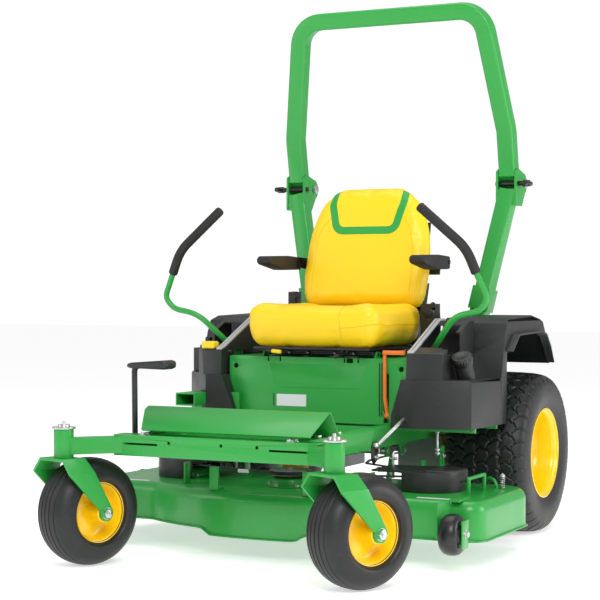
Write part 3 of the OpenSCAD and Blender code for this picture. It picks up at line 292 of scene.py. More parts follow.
def crispSmooth():  # one geometry group that shades smooth below an angle and sharp above it
    g = bpy.data.node_groups.new("crispSmooth", "GeometryNodeTree")
    g.interface.new_socket("Geometry", in_out="INPUT", socket_type="NodeSocketGeometry")
    g.interface.new_socket("Geometry", in_out="OUTPUT", socket_type="NodeSocketGeometry")
    i, o = g.nodes.new("NodeGroupInput"), g.nodes.new("NodeGroupOutput")
    whole, edges = g.nodes.new("GeometryNodeSetShadeSmooth"), g.nodes.new("GeometryNodeSetShadeSmooth")
    whole.domain, edges.domain = "FACE", "EDGE"
    edges.inputs["Shade Smooth"].default_value = False
    angle, above = g.nodes.new("GeometryNodeInputMeshEdgeAngle"), g.nodes.new("ShaderNodeMath")
    above.operation = "GREATER_THAN"
    above.inputs[1].default_value = math.radians(surface["sharpAngle"])
    g.links.new(i.outputs[0], whole.inputs["Geometry"])
    g.links.new(whole.outputs["Geometry"], edges.inputs["Geometry"])
    g.links.new(angle.outputs["Unsigned Angle"], above.inputs[0])
    g.links.new(above.outputs[0], edges.inputs["Selection"])
    g.links.new(edges.outputs["Geometry"], o.inputs[0])
    return g


smoothing = crispSmooth()


def shadeCrisp(obj):
    mod = obj.modifiers.new("crisp", "NODES")
    mod.node_group = smoothing


def softenEdges(obj, width, segments=2):
    mod = obj.modifiers.new("edge", "BEVEL")
    mod.width, mod.segments = width, segments
    mod.limit_method, mod.angle_limit = "ANGLE", math.radians(surface["edgeAngle"])
    mod.use_clamp_overlap = True


def dress(obj, look, body, replaces=(), crisp=True):
    obj.data.materials.clear()
    obj.data.materials.append(finish(look))
    if crisp:
        shadeCrisp(obj)
    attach(obj, body)
    if replaces:
        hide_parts(*replaces)
    return obj


def pieceFrom(name, verts, faces):
    data = bpy.data.meshes.new(name)
    data.from_pydata([tuple(v) for v in verts], [], [tuple(f) for f in faces])
    data.validate()
    obj = bpy.data.objects.new(name, data)
    bpy.context.collection.objects.link(obj)
    b = bmesh.new()
    b.from_mesh(data)
    bmesh.ops.remove_doubles(b, verts=b.verts, dist=1e-6)
    bmesh.ops.recalc_face_normals(b, faces=b.faces)
    b.to_mesh(data)
    b.free()
    return obj


def lathe(name, profile, turns=96, ripple=None):  # closed outline of (along, radius) turned round the X axis
    profile = np.array(profile, float) / 1000
    turn = np.linspace(0, 2 * math.pi, turns, endpoint=False)
    along = np.repeat(profile[None, :, 0], turns, 0)
    out = np.repeat(profile[None, :, 1], turns, 0)
    if ripple is not None:
        out = out + ripple(turn[:, None], along, out)
    pts = np.stack([along, out * np.cos(turn)[:, None], out * np.sin(turn)[:, None]], -1).reshape(-1, 3)
    n = len(profile)
    faces = [(a * n + k, a * n + (k + 1) % n, ((a + 1) % turns) * n + (k + 1) % n,
              ((a + 1) % turns) * n + k)
             for a in range(turns) for k in range(n)]
    return pieceFrom(name, pts, faces)


def shift(obj, where, turn=0.0, axis="Z"):
    obj.data.transform(Matrix.Translation(where) @ Matrix.Rotation(turn, 4, axis))
    return obj


def bake(obj):  # keeps what the modifiers make
    deps = bpy.context.evaluated_depsgraph_get()
    done = bpy.data.meshes.new_from_object(obj.evaluated_get(deps))
    obj.modifiers.clear()
    obj.data = done
    return obj


def cutWith(obj, tool, how="DIFFERENCE"):
    mod = obj.modifiers.new("cut", "BOOLEAN")
    mod.operation, mod.solver, mod.object = how, "EXACT", tool
    bake(obj)
    bpy.data.objects.remove(tool)
    return obj


def join(name, parts):
    b = bmesh.new()
    for p in parts:
        p.data.transform(p.matrix_world)
        b.from_mesh(p.data)
        bpy.data.objects.remove(p)
    data = bpy.data.meshes.new(name)
    b.to_mesh(data)
    b.free()
    obj = bpy.data.objects.new(name, data)
    bpy.context.collection.objects.link(obj)
    return obj


def prism(name, points, axis, low, high):  # outline pushed along one axis; points hold the other two in order
    order = {"x": lambda a, b, c: at(c, a, b), "y": lambda a, b, c: at(a, c, b), "z": lambda a, b,
             c: at(a, b, c)}[axis]
    n = len(points)
    verts = [order(p[0], p[1], h) for h in (low, high) for p in points]
    faces = [tuple(range(n)), tuple(range(n, 2 * n))] + [(k, (k + 1) % n, n + (k + 1) % n, n + k)
                                                         for k in range(n)]
    return pieceFrom(name, verts, faces)


def slab(name, a, b):
    return prism(name, [(a[0], a[1]), (b[0], a[1]), (b[0], b[1]), (a[0], b[1])], "z", a[2], b[2])


def filletPath(points, radius, steps=6):  # rounds the corners of a line of points
    pts = [Vector(p) for p in points]
    path = [pts[0]]
    for a, b, c in zip(pts, pts[1:], pts[2:]):
        r = min(radius, (a - b).length * 0.45, (c - b).length * 0.45)
        start, end = b + (a - b).normalized() * r, b + (c - b).normalized() * r
        for k in range(steps + 1):
            t = k / steps
            path.append(start * (1 - t) ** 2 + b * 2 * t * (1 - t) + end * t * t)
    return path + [pts[-1]]


def bandFaces(rings, sides):  # quads between neighbouring rings of points
    return [(k * sides + j, k * sides + (j + 1) % sides, (k + 1) * sides + (j + 1) % sides,
             (k + 1) * sides + j)
            for k in range(rings - 1) for j in range(sides)]


def tube(name, path, radius, sides=16, roundEnds=True):  # radius is a number or one value per point
    path = [Vector(p) for p in path]
    radii = list(radius) if hasattr(radius, "__len__") else [radius] * len(path)
    if roundEnds and len(path) > 1:
        r = radii[0]
        d0, d1 = (path[1] - path[0]).normalized(), (path[-1] - path[-2]).normalized()
        path = [path[0], path[0] + d0 * r * 0.12, path[0] + d0 * r * 0.4] + path[1:-1] + \
               [path[-1] - d1 * r * 0.4, path[-1] - d1 * r * 0.12, path[-1]]
        radii = [r * 0.55, r * 0.85, r] + radii[1:-1] + [radii[-1], radii[-1] * 0.85, radii[-1] * 0.55]
    ahead = (path[1] - path[0]).normalized()
    side = ahead.orthogonal().normalized()
    verts, faces = [], []
    for k, p in enumerate(path):
        nxt = (path[min(k + 1, len(path) - 1)] - path[max(k - 1, 0)]).normalized()
        side = (ahead.rotation_difference(nxt) @ side).normalized()
        ahead = nxt
        other = ahead.cross(side)
        verts += [p + (side * math.cos(a) + other * math.sin(a)) * radii[k]
                  for a in (2 * math.pi * j / sides for j in range(sides))]
    faces += bandFaces(len(path), sides)
    faces += [tuple(range(sides)), tuple(range((len(path) - 1) * sides, len(path) * sides))]
    return pieceFrom(name, verts, faces)


bolts = {"washer": 1.6}


def turnedStack(rings, sides):  # closed stack of rings, each (radius, height) in mm
    verts = [Vector((r * math.cos(2 * math.pi * j / sides), r * math.sin(2 * math.pi * j / sides),
                     z)) / 1000
             for r, z in rings for j in range(sides)]
    n = len(rings)
    faces = bandFaces(n, sides)
    faces += [tuple(range(sides)), tuple(range((n - 1) * sides, n * sides))]
    return pieceFrom("bit", verts, faces)


def hexBolt(name, where, axis, size=10, head=6, washer=True, stud=0):  # hex head on a washer, chamfered
    q = Vector(axis).to_track_quat("Z", "Y").to_matrix().to_4x4()
    base = bolts["washer"] if washer else 0
    top = base + head
    parts = []
    if washer:
        parts.append(turnedStack([(size * 1.25, 0), (size * 1.25, bolts["washer"])], 24))
    parts.append(turnedStack([(size * 0.98, base), (size, base + 0.5), (size, base + head - 1.2),
                              (size * 0.84, top)], 6))
    if stud:
        parts.append(turnedStack([(size * 0.5, top - 0.5), (size * 0.5, top + stud - 1),
                                  (size * 0.38, top + stud)], 16))
    obj = join(name, parts)
    obj.data.transform(Matrix.Translation(where) @ q)
    return obj


def roundedPad(name, size, radius, cells, warp=None):  # box with round edges, warped point by point (mm)
    b = bmesh.new()
    bmesh.ops.create_cube(b, size=2)
    bmesh.ops.subdivide_edges(b, edges=b.edges, cuts=cells, use_grid_fill=True)
    half = Vector(size) / 2
    inner = [max(h - radius, 0.01) for h in half]
    for v in b.verts:
        q = Vector(v.co[k] * half[k] for k in range(3))
        c = Vector(max(-inner[k], min(inner[k], q[k])) for k in range(3))
        d = q - c
        p = c + d.normalized() * radius if d.length > 1e-6 else q
        v.co = (warp(p) if warp else p) / 1000
    data = bpy.data.meshes.new(name)
    b.to_mesh(data)
    b.free()
    obj = bpy.data.objects.new(name, data)
    bpy.context.collection.objects.link(obj)
    return obj


# Wheels.
casterTyre = {"radius": 165, "grooves": (-36, -18, 0, 18, 36), "depth": 3.2, "grooveWidth": 5}
turfTyre = {"radius": 280, "width": 294, "pitches": 36, "columns": 7, "depth": 5.0, "bow": 0.30,
            "groove": 0.12, "rib": 0.05}


def casterOutline():
    c = casterTyre
    half = [(0, 165), (12, 164.6), (24, 163.2), (36, 160.4), (46, 156.2), (55, 150), (63, 142), (69, 132),
            (72.6, 121),
            (74, 111), (72.5, 103), (68, 97.5), (62, 95), (59, 93), (57, 88.3)]
    fine = []
    for (x0, r0), (x1, r1) in zip(half, half[1:]):
        steps = max(1, int((x1 - x0) / 1.2)) if x0 < 46 else 3
        fine += [(x0 + (x1 - x0) * k / steps, r0 + (r1 - r0) * k / steps) for k in range(steps)]
    fine.append(half[-1])
    out = []
    for x, r in fine:
        cut = max([max(0, 1 - (abs(x - g) / (c["grooveWidth"] / 2)) ** 4)
                   for g in c["grooves"] if g >= 0] + [0])
        ridge = 0.9 if 128 < r < 131 or 104 < r < 106 else 0
        out.append((x, r - c["depth"] * cut if x < 46 else r + ridge))
    return [(-x, r) for x, r in reversed(out)] + out[1:]


casters = {"left": (1, 26), "right": (-1, 18)}
for side, (sign, swing) in casters.items():
    turn = math.radians(-swing)
    hub = at(sign * 453 - 94 * math.sin(turn), -1374 + 94 * math.cos(turn), casterTyre["radius"])
    tyre = shift(lathe(side + "CasterTyre", casterOutline(), 144), hub, turn)
    dress(tyre, "tyreRubber", side + "_caster_wheel", [side + "_caster_tyre"])
    disc = [(-59, 94), (-56, 96.5), (-52, 95.5), (-50, 90), (-49, 86), (-44, 83), (-26, 80.5), (-15, 75),
            (-11, 66),
            (-12, 52), (-18, 42), (-30, 33), (-46, 29), (-80, 27.5), (-82.5, 25), (-82.5, 10.1),
            (82.5, 10.1),
            (82.5, 25), (80, 27.5), (46, 29), (30, 33), (18, 42), (12, 52), (11, 66), (15, 75), (26, 80.5),
            (44, 83),
            (49, 86), (50, 90), (52, 95.5), (56, 96.5), (59, 94), (58, 89.5), (54, 88), (-54, 88),
            (-58, 89.5)]
    rim = lathe(side + "CasterRim", disc, 96)
    for v in rim.data.vertices:  # three wide lobes swell out of the dished disc
        r = math.hypot(v.co.y, v.co.z)
        if 0.036 < r < 0.078 and abs(v.co.x) < 0.03:
            lobe = 0.5 + 0.5 * math.cos(3 * math.atan2(v.co.z, v.co.y))
            fall = math.sin((r - 0.036) / 0.042 * math.pi)
            v.co.x += math.copysign(0.009 * lobe * fall, v.co.x)
    dress(shift(rim, hub, turn), "yellowPaint", side + "_caster_wheel", [side + "_caster_rim"])
    axis = Vector((math.cos(turn), math.sin(turn), 0))
    for s in (-1, 1):
        bolt = hexBolt(side + "CasterBolt%d" % (s + 1), hub + axis * s * 0.0921, axis * s, 15, 9, True, 4)
        dress(bolt, "zincSteel", side + "_caster")
print("stage: caster wheels")


def turfOutline():
    half = [(0, 280), (40, 279.4), (80, 277.6), (105, 274.6), (122, 269.6), (134, 262), (141.5, 252),
            (145, 240),
            (146.4, 226), (147, 210), (146, 196), (143, 182), (138.5, 168), (135, 158), (134, 151)]
    path = [Vector((x, r, 0)) for x, r in half]
    fine, step = [], 3.6
    for a, b in zip(path, path[1:]):
        n = max(1, round((b - a).length / (step if a.y > 235 else 7)))
        fine += [a.lerp(b, k / n) for k in range(n)]
    fine.append(path[-1])
    half = [(p.x, p.y) for p in fine]
    return [(-x, r) for x, r in reversed(half)] + half[1:]


def turfBlocks(turn, along, out):  # staggered cupped blocks, cut by cross grooves and thin rings
    t = turfTyre
    across = np.clip(along / (t["width"] / 2000), -1, 1) * 0.5 + 0.5
    spread = across * t["columns"]
    wiggle = 0.12 * np.sin(turn * t["pitches"])
    column = np.floor(np.clip(spread + wiggle * (np.abs(along) < 0.12), 0, t["columns"] - 1e-6))
    local = (spread + wiggle * (np.abs(along) < 0.12) - column) * 2 - 1
    phase = (turn * t["pitches"] / (2 * math.pi) + 0.5 * (column % 2) + t["bow"] * (1 - local ** 2)) % 1.0
    cross = np.clip((np.minimum(phase, 1 - phase) - t["groove"] / 2) / 0.05, 0, 1)
    ring = np.clip((1 - np.abs(local) - t["rib"]) / 0.12, 0, 1)
    ring = np.where((column == 0) & (local < 0) | (column == t["columns"] - 1) & (local > 0), 1, ring)
    block = np.minimum(cross, 0.35 + 0.65 * ring)
    zone = np.clip((out - 0.238) / 0.012, 0, 1)
    return -(1 - block) * zone * t["depth"] / 1000


for side, sign in (("left", 1), ("right", -1)):
    hub = at(sign * 487, 0, turfTyre["radius"])
    tyre = shift(lathe(side + "TurfTyre", turfOutline(), 648, turfBlocks), hub)
    dress(tyre, "tyreRubber", side + "_drive_wheel", [side + "_drive_tyre"])
    s = sign
    disc = [(-137, 152), (-136, 156), (-131, 155.5), (-129, 149), (-126, 143), (-100, 138), (20, 134),
            (30, 128),
            (26, 118), (18, 104), (14, 84), (12, 60), (12, 46), (-18, 44), (-18, 15.1), (40, 15.1),
            (40, 36), (36, 42),
            (24, 46), (20, 62), (23, 84), (28, 104), (38, 119), (46, 128), (70, 134), (112, 138),
            (124, 141),
            (129, 147), (131, 155.5), (136, 156), (137, 152), (134, 149), (128, 148.2), (-128, 148.2),
            (-134, 149)]
    rim = lathe(side + "DriveRim", [(x * s, r) for x, r in disc], 120)
    dress(shift(rim, hub), "yellowPaint", side + "_drive_wheel", [side + "_drive_rim"])
    for k in range(5):
        a = math.radians(72 * k + 20)
        where = hub + Vector((s * 0.0195, 0.055 * math.cos(a), 0.055 * math.sin(a)))
        dress(hexBolt("%sLug%d" % (side, k), where, (s, 0, 0), 11, 10, True, 5), "zincSteel",
              side + "_drive_wheel")
    cap = lathe(side + "HubCap", [(38, 0.01), (44, 0.01), (44, 20), (42, 24), (38, 26)], 40)
    if sign < 0:
        cap.data.transform(Matrix.Scale(-1, 4, (1, 0, 0)))
        cap.data.flip_normals()
    dress(shift(cap, hub), "darkSteel", side + "_drive_wheel")
print("stage: drive wheels")

# Seat.
seat = {"low": 655, "high": 785, "front": -640, "recline": 12, "top": 1222, "swell": 0.008, "voxel": 0.006,
        "pressure": 4, "frames": 20}


def puffUp(obj, cap, voxel):  # swells a pad with cloth pressure, never further than cap
    rest = obj.modifiers.new("remesh", "REMESH")
    rest.mode, rest.voxel_size = "VOXEL", voxel
    bake(obj)
    before = [v.co.copy() for v in obj.data.vertices]
    cloth = obj.modifiers.new("cloth", "CLOTH")
    cloth.settings.use_pressure = True
    cloth.settings.uniform_pressure_force = seat["pressure"]
    cloth.settings.effector_weights.gravity = 0
    cloth.point_cache.frame_end = seat["frames"]
    for f in range(1, seat["frames"] + 1):
        bpy.context.scene.frame_set(f)
    bake(obj)
    for v, old in zip(obj.data.vertices, before):
        d = v.co - old
        if d.length > cap:
            v.co = old + d * (cap / d.length)
    bpy.context.scene.frame_set(1)
    even = obj.modifiers.new("even", "SMOOTH")
    even.iterations, even.factor = 6, 0.5
    sub = obj.modifiers.new("sub", "SUBSURF")
    sub.levels = sub.render_levels = 1
    bake(obj)
    for p in obj.data.polygons:
        p.use_smooth = True
    return obj


def surfaceFinder(obj):
    b = bmesh.new()
    b.from_mesh(obj.data)
    tree = BVHTree.FromBMesh(b)
    b.free()
    return lambda p: tree.find_nearest(p)[:2]


def seamOn(name, find, points, radius, lift, look, body, steps=90):  # thin welt laid along a surface
    rough = [Vector(p) for p in points]
    path = []
    for k in range(steps + 1):
        t = k / steps * (len(rough) - 1)
        i = min(int(t), len(rough) - 2)
        p, n = find(rough[i].lerp(rough[i + 1], t - i))
        path.append(p + n * lift)
    path = [path[0]] + [(path[k - 1] + path[k] * 2 + path[k + 1]) / 4
                        for k in range(1, len(path) - 1)] + [path[-1]]
    return dress(tube(name, path, radius, 8), look, body)


def cushionWarp(p):
    x, y, z = p
    w, front = x / 244, (y + 223) / 446  # front 0, rear 1
    bolster = 14 * max(0, abs(w) - 0.5) ** 1.1 / 0.5
    dip = -6 * (1 - w * w) * math.sin(math.pi * min(1, max(0, front)))
    if z > 0:
        z += bolster + dip + 5 * max(0, 0.5 - front)
    tuck = max(0, -z / 64)
    x *= 1 - 0.055 * tuck - 0.01 * max(0, 0.3 - front)
    y += 12 * tuck * max(0, 1 - front * 2) + 14 * (w * w) * max(0, 1 - front * 1.6)
    return Vector((x, y, z))


cushion = roundedPad("seatCushion", (488, 446, 128), 38, 24, cushionWarp)
shift(cushion, at(0, seat["front"] + 233, (seat["low"] + seat["high"]) / 2 + 3))
puffUp(cushion, seat["swell"], seat["voxel"])
dress(cushion, "yellowVinyl", "seat", ["seat_cushion"], crisp=False)
onCushion = surfaceFinder(cushion)
mid = (seat["low"] + seat["high"]) / 2
seamOn("cushionWelt", onCushion, [at(275, -200, mid + 8), at(275, -560, mid + 14), at(245, -640, mid + 12),
                                  at(120, -665, mid - 2)], 0.0011, 0.0002, "seatSeam", "seat")
seamOn("cushionSeam", onCushion, [at(105, -330, 830), at(112, -560, 810), at(114, -650, 770),
                                  at(118, -660, 710),
                                  at(122, -650, 660)], 0.0011, 0.0002, "seatSeam", "seat")
seamOn("cushionSide", onCushion, [at(-275, -200, mid + 8), at(-275, -560, mid + 14),
                                  at(-250, -640, mid - 2),
                                  at(-215, -655, mid - 50)], 0.0011, 0.0002, "seatSeam", "seat")

lean = Matrix.Translation(at(0, -215, 785)) @ Matrix.Rotation(math.radians(-seat["recline"]), 4, "X")
backTall = (seat["top"] - 785) / math.cos(math.radians(seat["recline"]))


def backWarp(p):
    x, y, z = p
    t = (z + backTall / 2) / backTall
    half = np.interp(t, [0, 0.12, 0.3, 0.5, 0.62, 0.74, 0.845, 0.91, 0.965, 1.0],
                     [0.92, 0.97, 1.0, 0.985, 0.95, 0.89, 0.80, 0.72, 0.63, 0.54])
    x *= float(half)
    thin = float(np.interp(t, [0, 0.1, 0.8, 1.0], [0.92, 1.0, 0.92, 0.70]))
    y = y * thin - 6 * (1 - (x / 250) ** 2) * (1 if y < 0 else 0) + 6 * (1 - thin) * 4
    z -= 10 * (x / 200) ** 2 if t > 0.9 else 0
    return Vector((x, y, z))


back = roundedPad("seatBack", (496, 68, backTall + 6), 33, 24, backWarp)
back.data.transform(lean @ Matrix.Translation((0, 0.046, backTall / 2000 + 0.006)))
puffUp(back, seat["swell"], seat["voxel"])
dress(back, "yellowVinyl", "seat", ["seat_back"], crisp=False)
onBack = surfaceFinder(back)


def backPoint(x, y, z):
    return lean @ Vector((x / 1000, y / 1000, z / 1000))


def stripe(name, find, line, half, look, body):  # flat band sewn to a surface, edges turned under
    path = filletPath([Vector(p) for p in line], 0.03, 10)
    dense = []
    for a, b in zip(path, path[1:]):
        n = max(1, int((b - a).length / 0.006))
        dense += [a.lerp(b, k / n) for k in range(n)]
    dense.append(path[-1])
    rows, cuts = [], (-1, -0.985, -0.9, -0.5, 0, 0.5, 0.9, 0.985, 1)
    rise = (-0.0006, 0.0004, 0.0009, 0.001, 0.001, 0.001, 0.0009, 0.0004, -0.0006)
    for k, p in enumerate(dense):
        d = (dense[min(k + 1, len(dense) - 1)] - dense[max(k - 1, 0)]).normalized()
        q, n = find(p)
        acr = d.cross(n).normalized()
        row = []
        for c, up in zip(cuts, rise):
            s, m = find(q + acr * half * c + n * 0.004)
            row.append(s + m * up)
        rows.append(row)
    w = len(cuts)
    faces = [(k * w + j, k * w + j + 1, (k + 1) * w + j + 1, (k + 1) * w + j)
             for k in range(len(rows) - 1) for j in range(w - 1)]
    obj = pieceFrom(name, [v for r in rows for v in r], faces)
    solid = obj.modifiers.new("thick", "SOLIDIFY")
    solid.thickness, solid.offset = 0.0008, -1
    bake(obj)
    return dress(obj, look, body)


stripe("backStripe", onBack, [backPoint(-158, 0, backTall + 30), backPoint(-152, -40, backTall - 12),
                              backPoint(-114, -60, 283), backPoint(114, -60, 283),
                              backPoint(152, -40, backTall - 12),
                              backPoint(158, 0, backTall + 30)], 0.0145, "greenTrim", "seat")
for s in (-1, 1):
    seamOn("backSeam%d" % (s + 1), onBack, [backPoint(s * 196, -70, 15), backPoint(s * 196, -70, 250),
                                            backPoint(s * 172, -60, 300), backPoint(s * 140, -60, 335)],
           0.0010, 0.0001, "seatSeam", "seat")
print("stage: seat")

# Lap bars.
bars = {"bar": 10, "grip": 16, "bend": 0.045}
for side, sign in (("left", 1), ("right", -1)):
    def m(x, y, z, s=sign):
        return at(s * x, y, z)
    path = [m(372, -445, 640), m(480, -520, 762), m(570, -527, 779), m(602, -535, 818), m(565, -545, 901),
            m(532, -550, 982), m(376, -552, 1115)]
    whole = filletPath(path, bars["bend"], 8)
    body = side + "_bar"
    bar = tube(side + "LapBar", whole, bars["bar"] / 1000, 20)
    eye = lathe(side + "BarEye", [(-23, 8.1), (-23, 17), (-22, 18), (22, 18), (23, 17), (23, 8.1)], 40)
    eye.data.transform(Matrix.Rotation(math.pi / 2, 4, "Z"))
    shift(eye, m(372, -445, 628))
    dress(join(side + "LapBar", [bar, eye]), "greenPaint", body, [side + "_lap_bar"])
    hold = filletPath([m(566, -544.8, 899), m(532, -550, 982), m(368, -552, 1122)], 0.05, 10)
    grip = tube(side + "LapGrip", hold, bars["grip"] / 1000, 28)
    dress(grip, "foam", body, [side + "_lap_grip"])
print("stage: lap bars")

# Cutting deck.
deck = {"halfWidth": 704, "front": -1000, "rear": -372, "bow": 837, "bowHalf": 31,
        "shoulder": -877, "drop": 20,
        "spindles": ((440, -625), (0, -745), (-440, -625))}


def deckEdge():  # plan of the deck, once round
    d, deg = deck, math.pi / 180
    half = [(d["bow"] * math.sin(a * deg), d["front"] + d["bow"] * (1 - math.cos(a * deg)))
            for a in np.linspace(0, d["bowHalf"], 26)]
    half += [(437, d["shoulder"]), (480, d["shoulder"]), (540, d["shoulder"]), (600, d["shoulder"])]
    k = d["halfWidth"] - 60
    half += [(k + 60 * math.sin(a * deg), d["shoulder"] + 60 * (1 - math.cos(a * deg)))
             for a in range(0, 91, 9)]
    half += [(d["halfWidth"], y) for y in (-790, -700, -600, -500)]
    r = d["halfWidth"] - 100
    half += [(r + 100 * math.cos(a * deg), d["rear"] - 100 + 100 * math.sin(a * deg))
             for a in range(0, 91, 9)]
    half += [(x, d["rear"]) for x in (450, 300, 150)]
    return half + [(0, d["rear"])] + [(-x, y) for x, y in reversed(half[1:])]


def ringAt(edge, inset):
    n, out = len(edge), []
    for k in range(n):
        a, b, c = Vector(edge[k - 1]), Vector(edge[k]), Vector(edge[(k + 1) % n])
        t = ((b - a).normalized() + (c - b).normalized()).normalized()
        out.append((b.x - t.y * inset, b.y + t.x * inset))
    return out


edge = deckEdge()
section = [(-7, 87.2), (-7, 90.6), (-6, 92), (-1.5, 92.4), (-0.3, 93.4), (0, 96), (0, 120), (0, 176),
           (1.2, 184),
           (4, 191), (8.5, 198), (14.5, 203.6), (21, 206.8), (28, 208), (29, 203.6), (22, 202.4),
           (16, 199.2),
           (11, 194.6), (7.2, 188.6), (5, 182), (4.5, 176), (4.5, 120), (4.5, 90), (3.5, 87.4)]
rings = [ringAt(edge, inset) for inset, z in section]
verts = []
for (inset, z), ring in zip(section, rings):
    for x, y in ring:
        if y < -950 and z < 94:  # the lip hangs lower in front
            ease = min(1, max(0, (x + 205) / 45)) * min(1, max(0, (180 - x) / 45))
            verts.append(at(x, y, z - deck["drop"] * ease * ease * (3 - 2 * ease)))
        else:
            verts.append(at(x, y, z))
n, rows = len(edge), len(section)
top = 13
faces = [(r * n + k, r * n + (k + 1) % n, ((r + 1) % rows) * n + (k + 1) % n, ((r + 1) % rows) * n + k)
         for r in range(rows) if r != top for k in range(n)]
faces += [tuple(range(top * n, top * n + n)), tuple(range((top + 1) * n, (top + 1) * n + n))]
shell = pieceFrom("deckShell", verts, faces)
cutWith(shell, slab("chuteGap", (-740, -790, 60), (-640, -500, 182)))
parts = [shell]
for x, y in deck["spindles"]:
    drum = lathe("drum", [(0, 30), (0, 78), (3, 79), (5, 66), (24, 61), (28, 58), (30, 52), (30, 14),
                          (26, 13)], 48)
    drum.data.transform(Matrix.Rotation(-math.pi / 2, 4, "Y"))
    parts.append(shift(drum, at(x, y, 207.6)))
ears = [prism("ear", [(y, 181), (y + 8, 181), (y + 8, 204), (y, 204)], "x", -718, -700)
        for y in (-786, -512)]
rod = tube("rod", [at(-711, -787, 194), at(-711, -503, 194)], 0.004, 12)
dress(join("deckShell", parts + ears + [rod]), "deckGreen", "deck", ["deck_shell"])
for x, y in deck["spindles"]:
    for k in range(6):
        a = math.radians(60 * k + 15)
        where = at(x + 69 * math.cos(a), y + 69 * math.sin(a), 212)
        dress(hexBolt("drumBolt", where, (0, 0, 1), 7, 6), "zincSteel", "deck")
print("stage: deck")

# Small fittings.
fittings = {"rod": 6.0, "thinRod": 4.2, "wire": 1.3, "coil": 7.5}


def rodPiece(name, points, radius, look, body, bend=0.02, replaces=()):
    return dress(tube(name, filletPath([at(*p) for p in points], bend, 6), radius / 1000, 14), look, body,
                 replaces)


def coilSpring(name, low, high, radius, wire, turns, look, body):  # helix between two points
    a, b = at(*low), at(*high)
    q = (b - a).to_track_quat("Z", "Y").to_matrix()
    span = (b - a).length
    path = [a + q @ Vector((radius / 1000 * math.cos(t), radius / 1000 * math.sin(t),
                            span * k / (turns * 10)))
            for k, t in ((k, 2 * math.pi * k / 10) for k in range(turns * 10 + 1))]
    return dress(tube(name, path, wire / 1000, 6, False), look, body)


def softBlock(name, size, radius, where, look, body, turn=0.0, axis="X", replaces=()):
    block = roundedPad(name, size, radius, 8)
    for p in block.data.polygons:
        p.use_smooth = True
    return dress(shift(block, at(*where), turn, axis), look, body, replaces)


# front panel, right-hand nose and seat slide
dress(prism("panelLabel", [(-150, 453), (-39, 453), (-39, 493), (-150, 493)], "y", -550.9, -549),
      "labelWhite",
      "chassis")
dress(prism("labelFrame", [(-164, 452), (-160, 452), (-160, 496), (-164, 496)], "y", -550.4, -549),
      "blackPaint",
      "chassis")
# two black strips are painted shade standing in for the slot openings in the panel
for k in range(2):
    x = 228 + k * 9
    dress(prism("panelSlotShade%d" % k, [(x, 430), (x + 4, 430), (x + 4, 606), (x, 606)], "y", -550.5, -549),
          "blackPaint",
          "chassis")
for s in (-1, 1):
    ring = lathe("panelEyelet%d" % (s + 1), [(0, 8.6), (0, 11.4), (1.2, 11), (1.6, 9.6), (1.2, 8.6)], 32)
    ring.data.transform(Matrix.Rotation(-math.pi / 2, 4, "Z"))
    dress(shift(ring, at(s * 372, -549.8, 586)), "zincSteel", "chassis")
softBlock("ptoPad", (52, 40, 26), 8, (-396, -576, 656), "yellowPlastic", "pto", replaces=["pto_knob"])
rodPiece("ptoStem", [(-398, -576, 602), (-398, -576, 650)], 5, "yellowPlastic", "pto")
rodPiece("seatLatch", [(-232, -560, 646), (-170, -596, 643), (-128, -606, 640)], 4.5, "blackPaint", "seat")
rodPiece("seatLatchTip", [(-142, -603, 640.5), (-104, -612, 638)], 7, "yellowPlastic", "seat")
softBlock("beltReel", (46, 74, 92), 14, (284, -224, 748), "smoothBlack", "seat", 0.2)
rodPiece("beltGuide", [(270, -196, 786), (296, -240, 800), (306, -262, 782)], 9, "smoothBlack", "seat")
softBlock("buckleBody", (31, 52, 74), 8, (-272, -171, 792), "smoothBlack", "seat")
for k, x in enumerate((-110, -40, 60, 130)):
    rodPiece("seatStrut%d" % k, [(x, -540, 634), (x + 24, -420, 648), (x, -300, 634)], 5, "darkSteel",
             "seat_base")

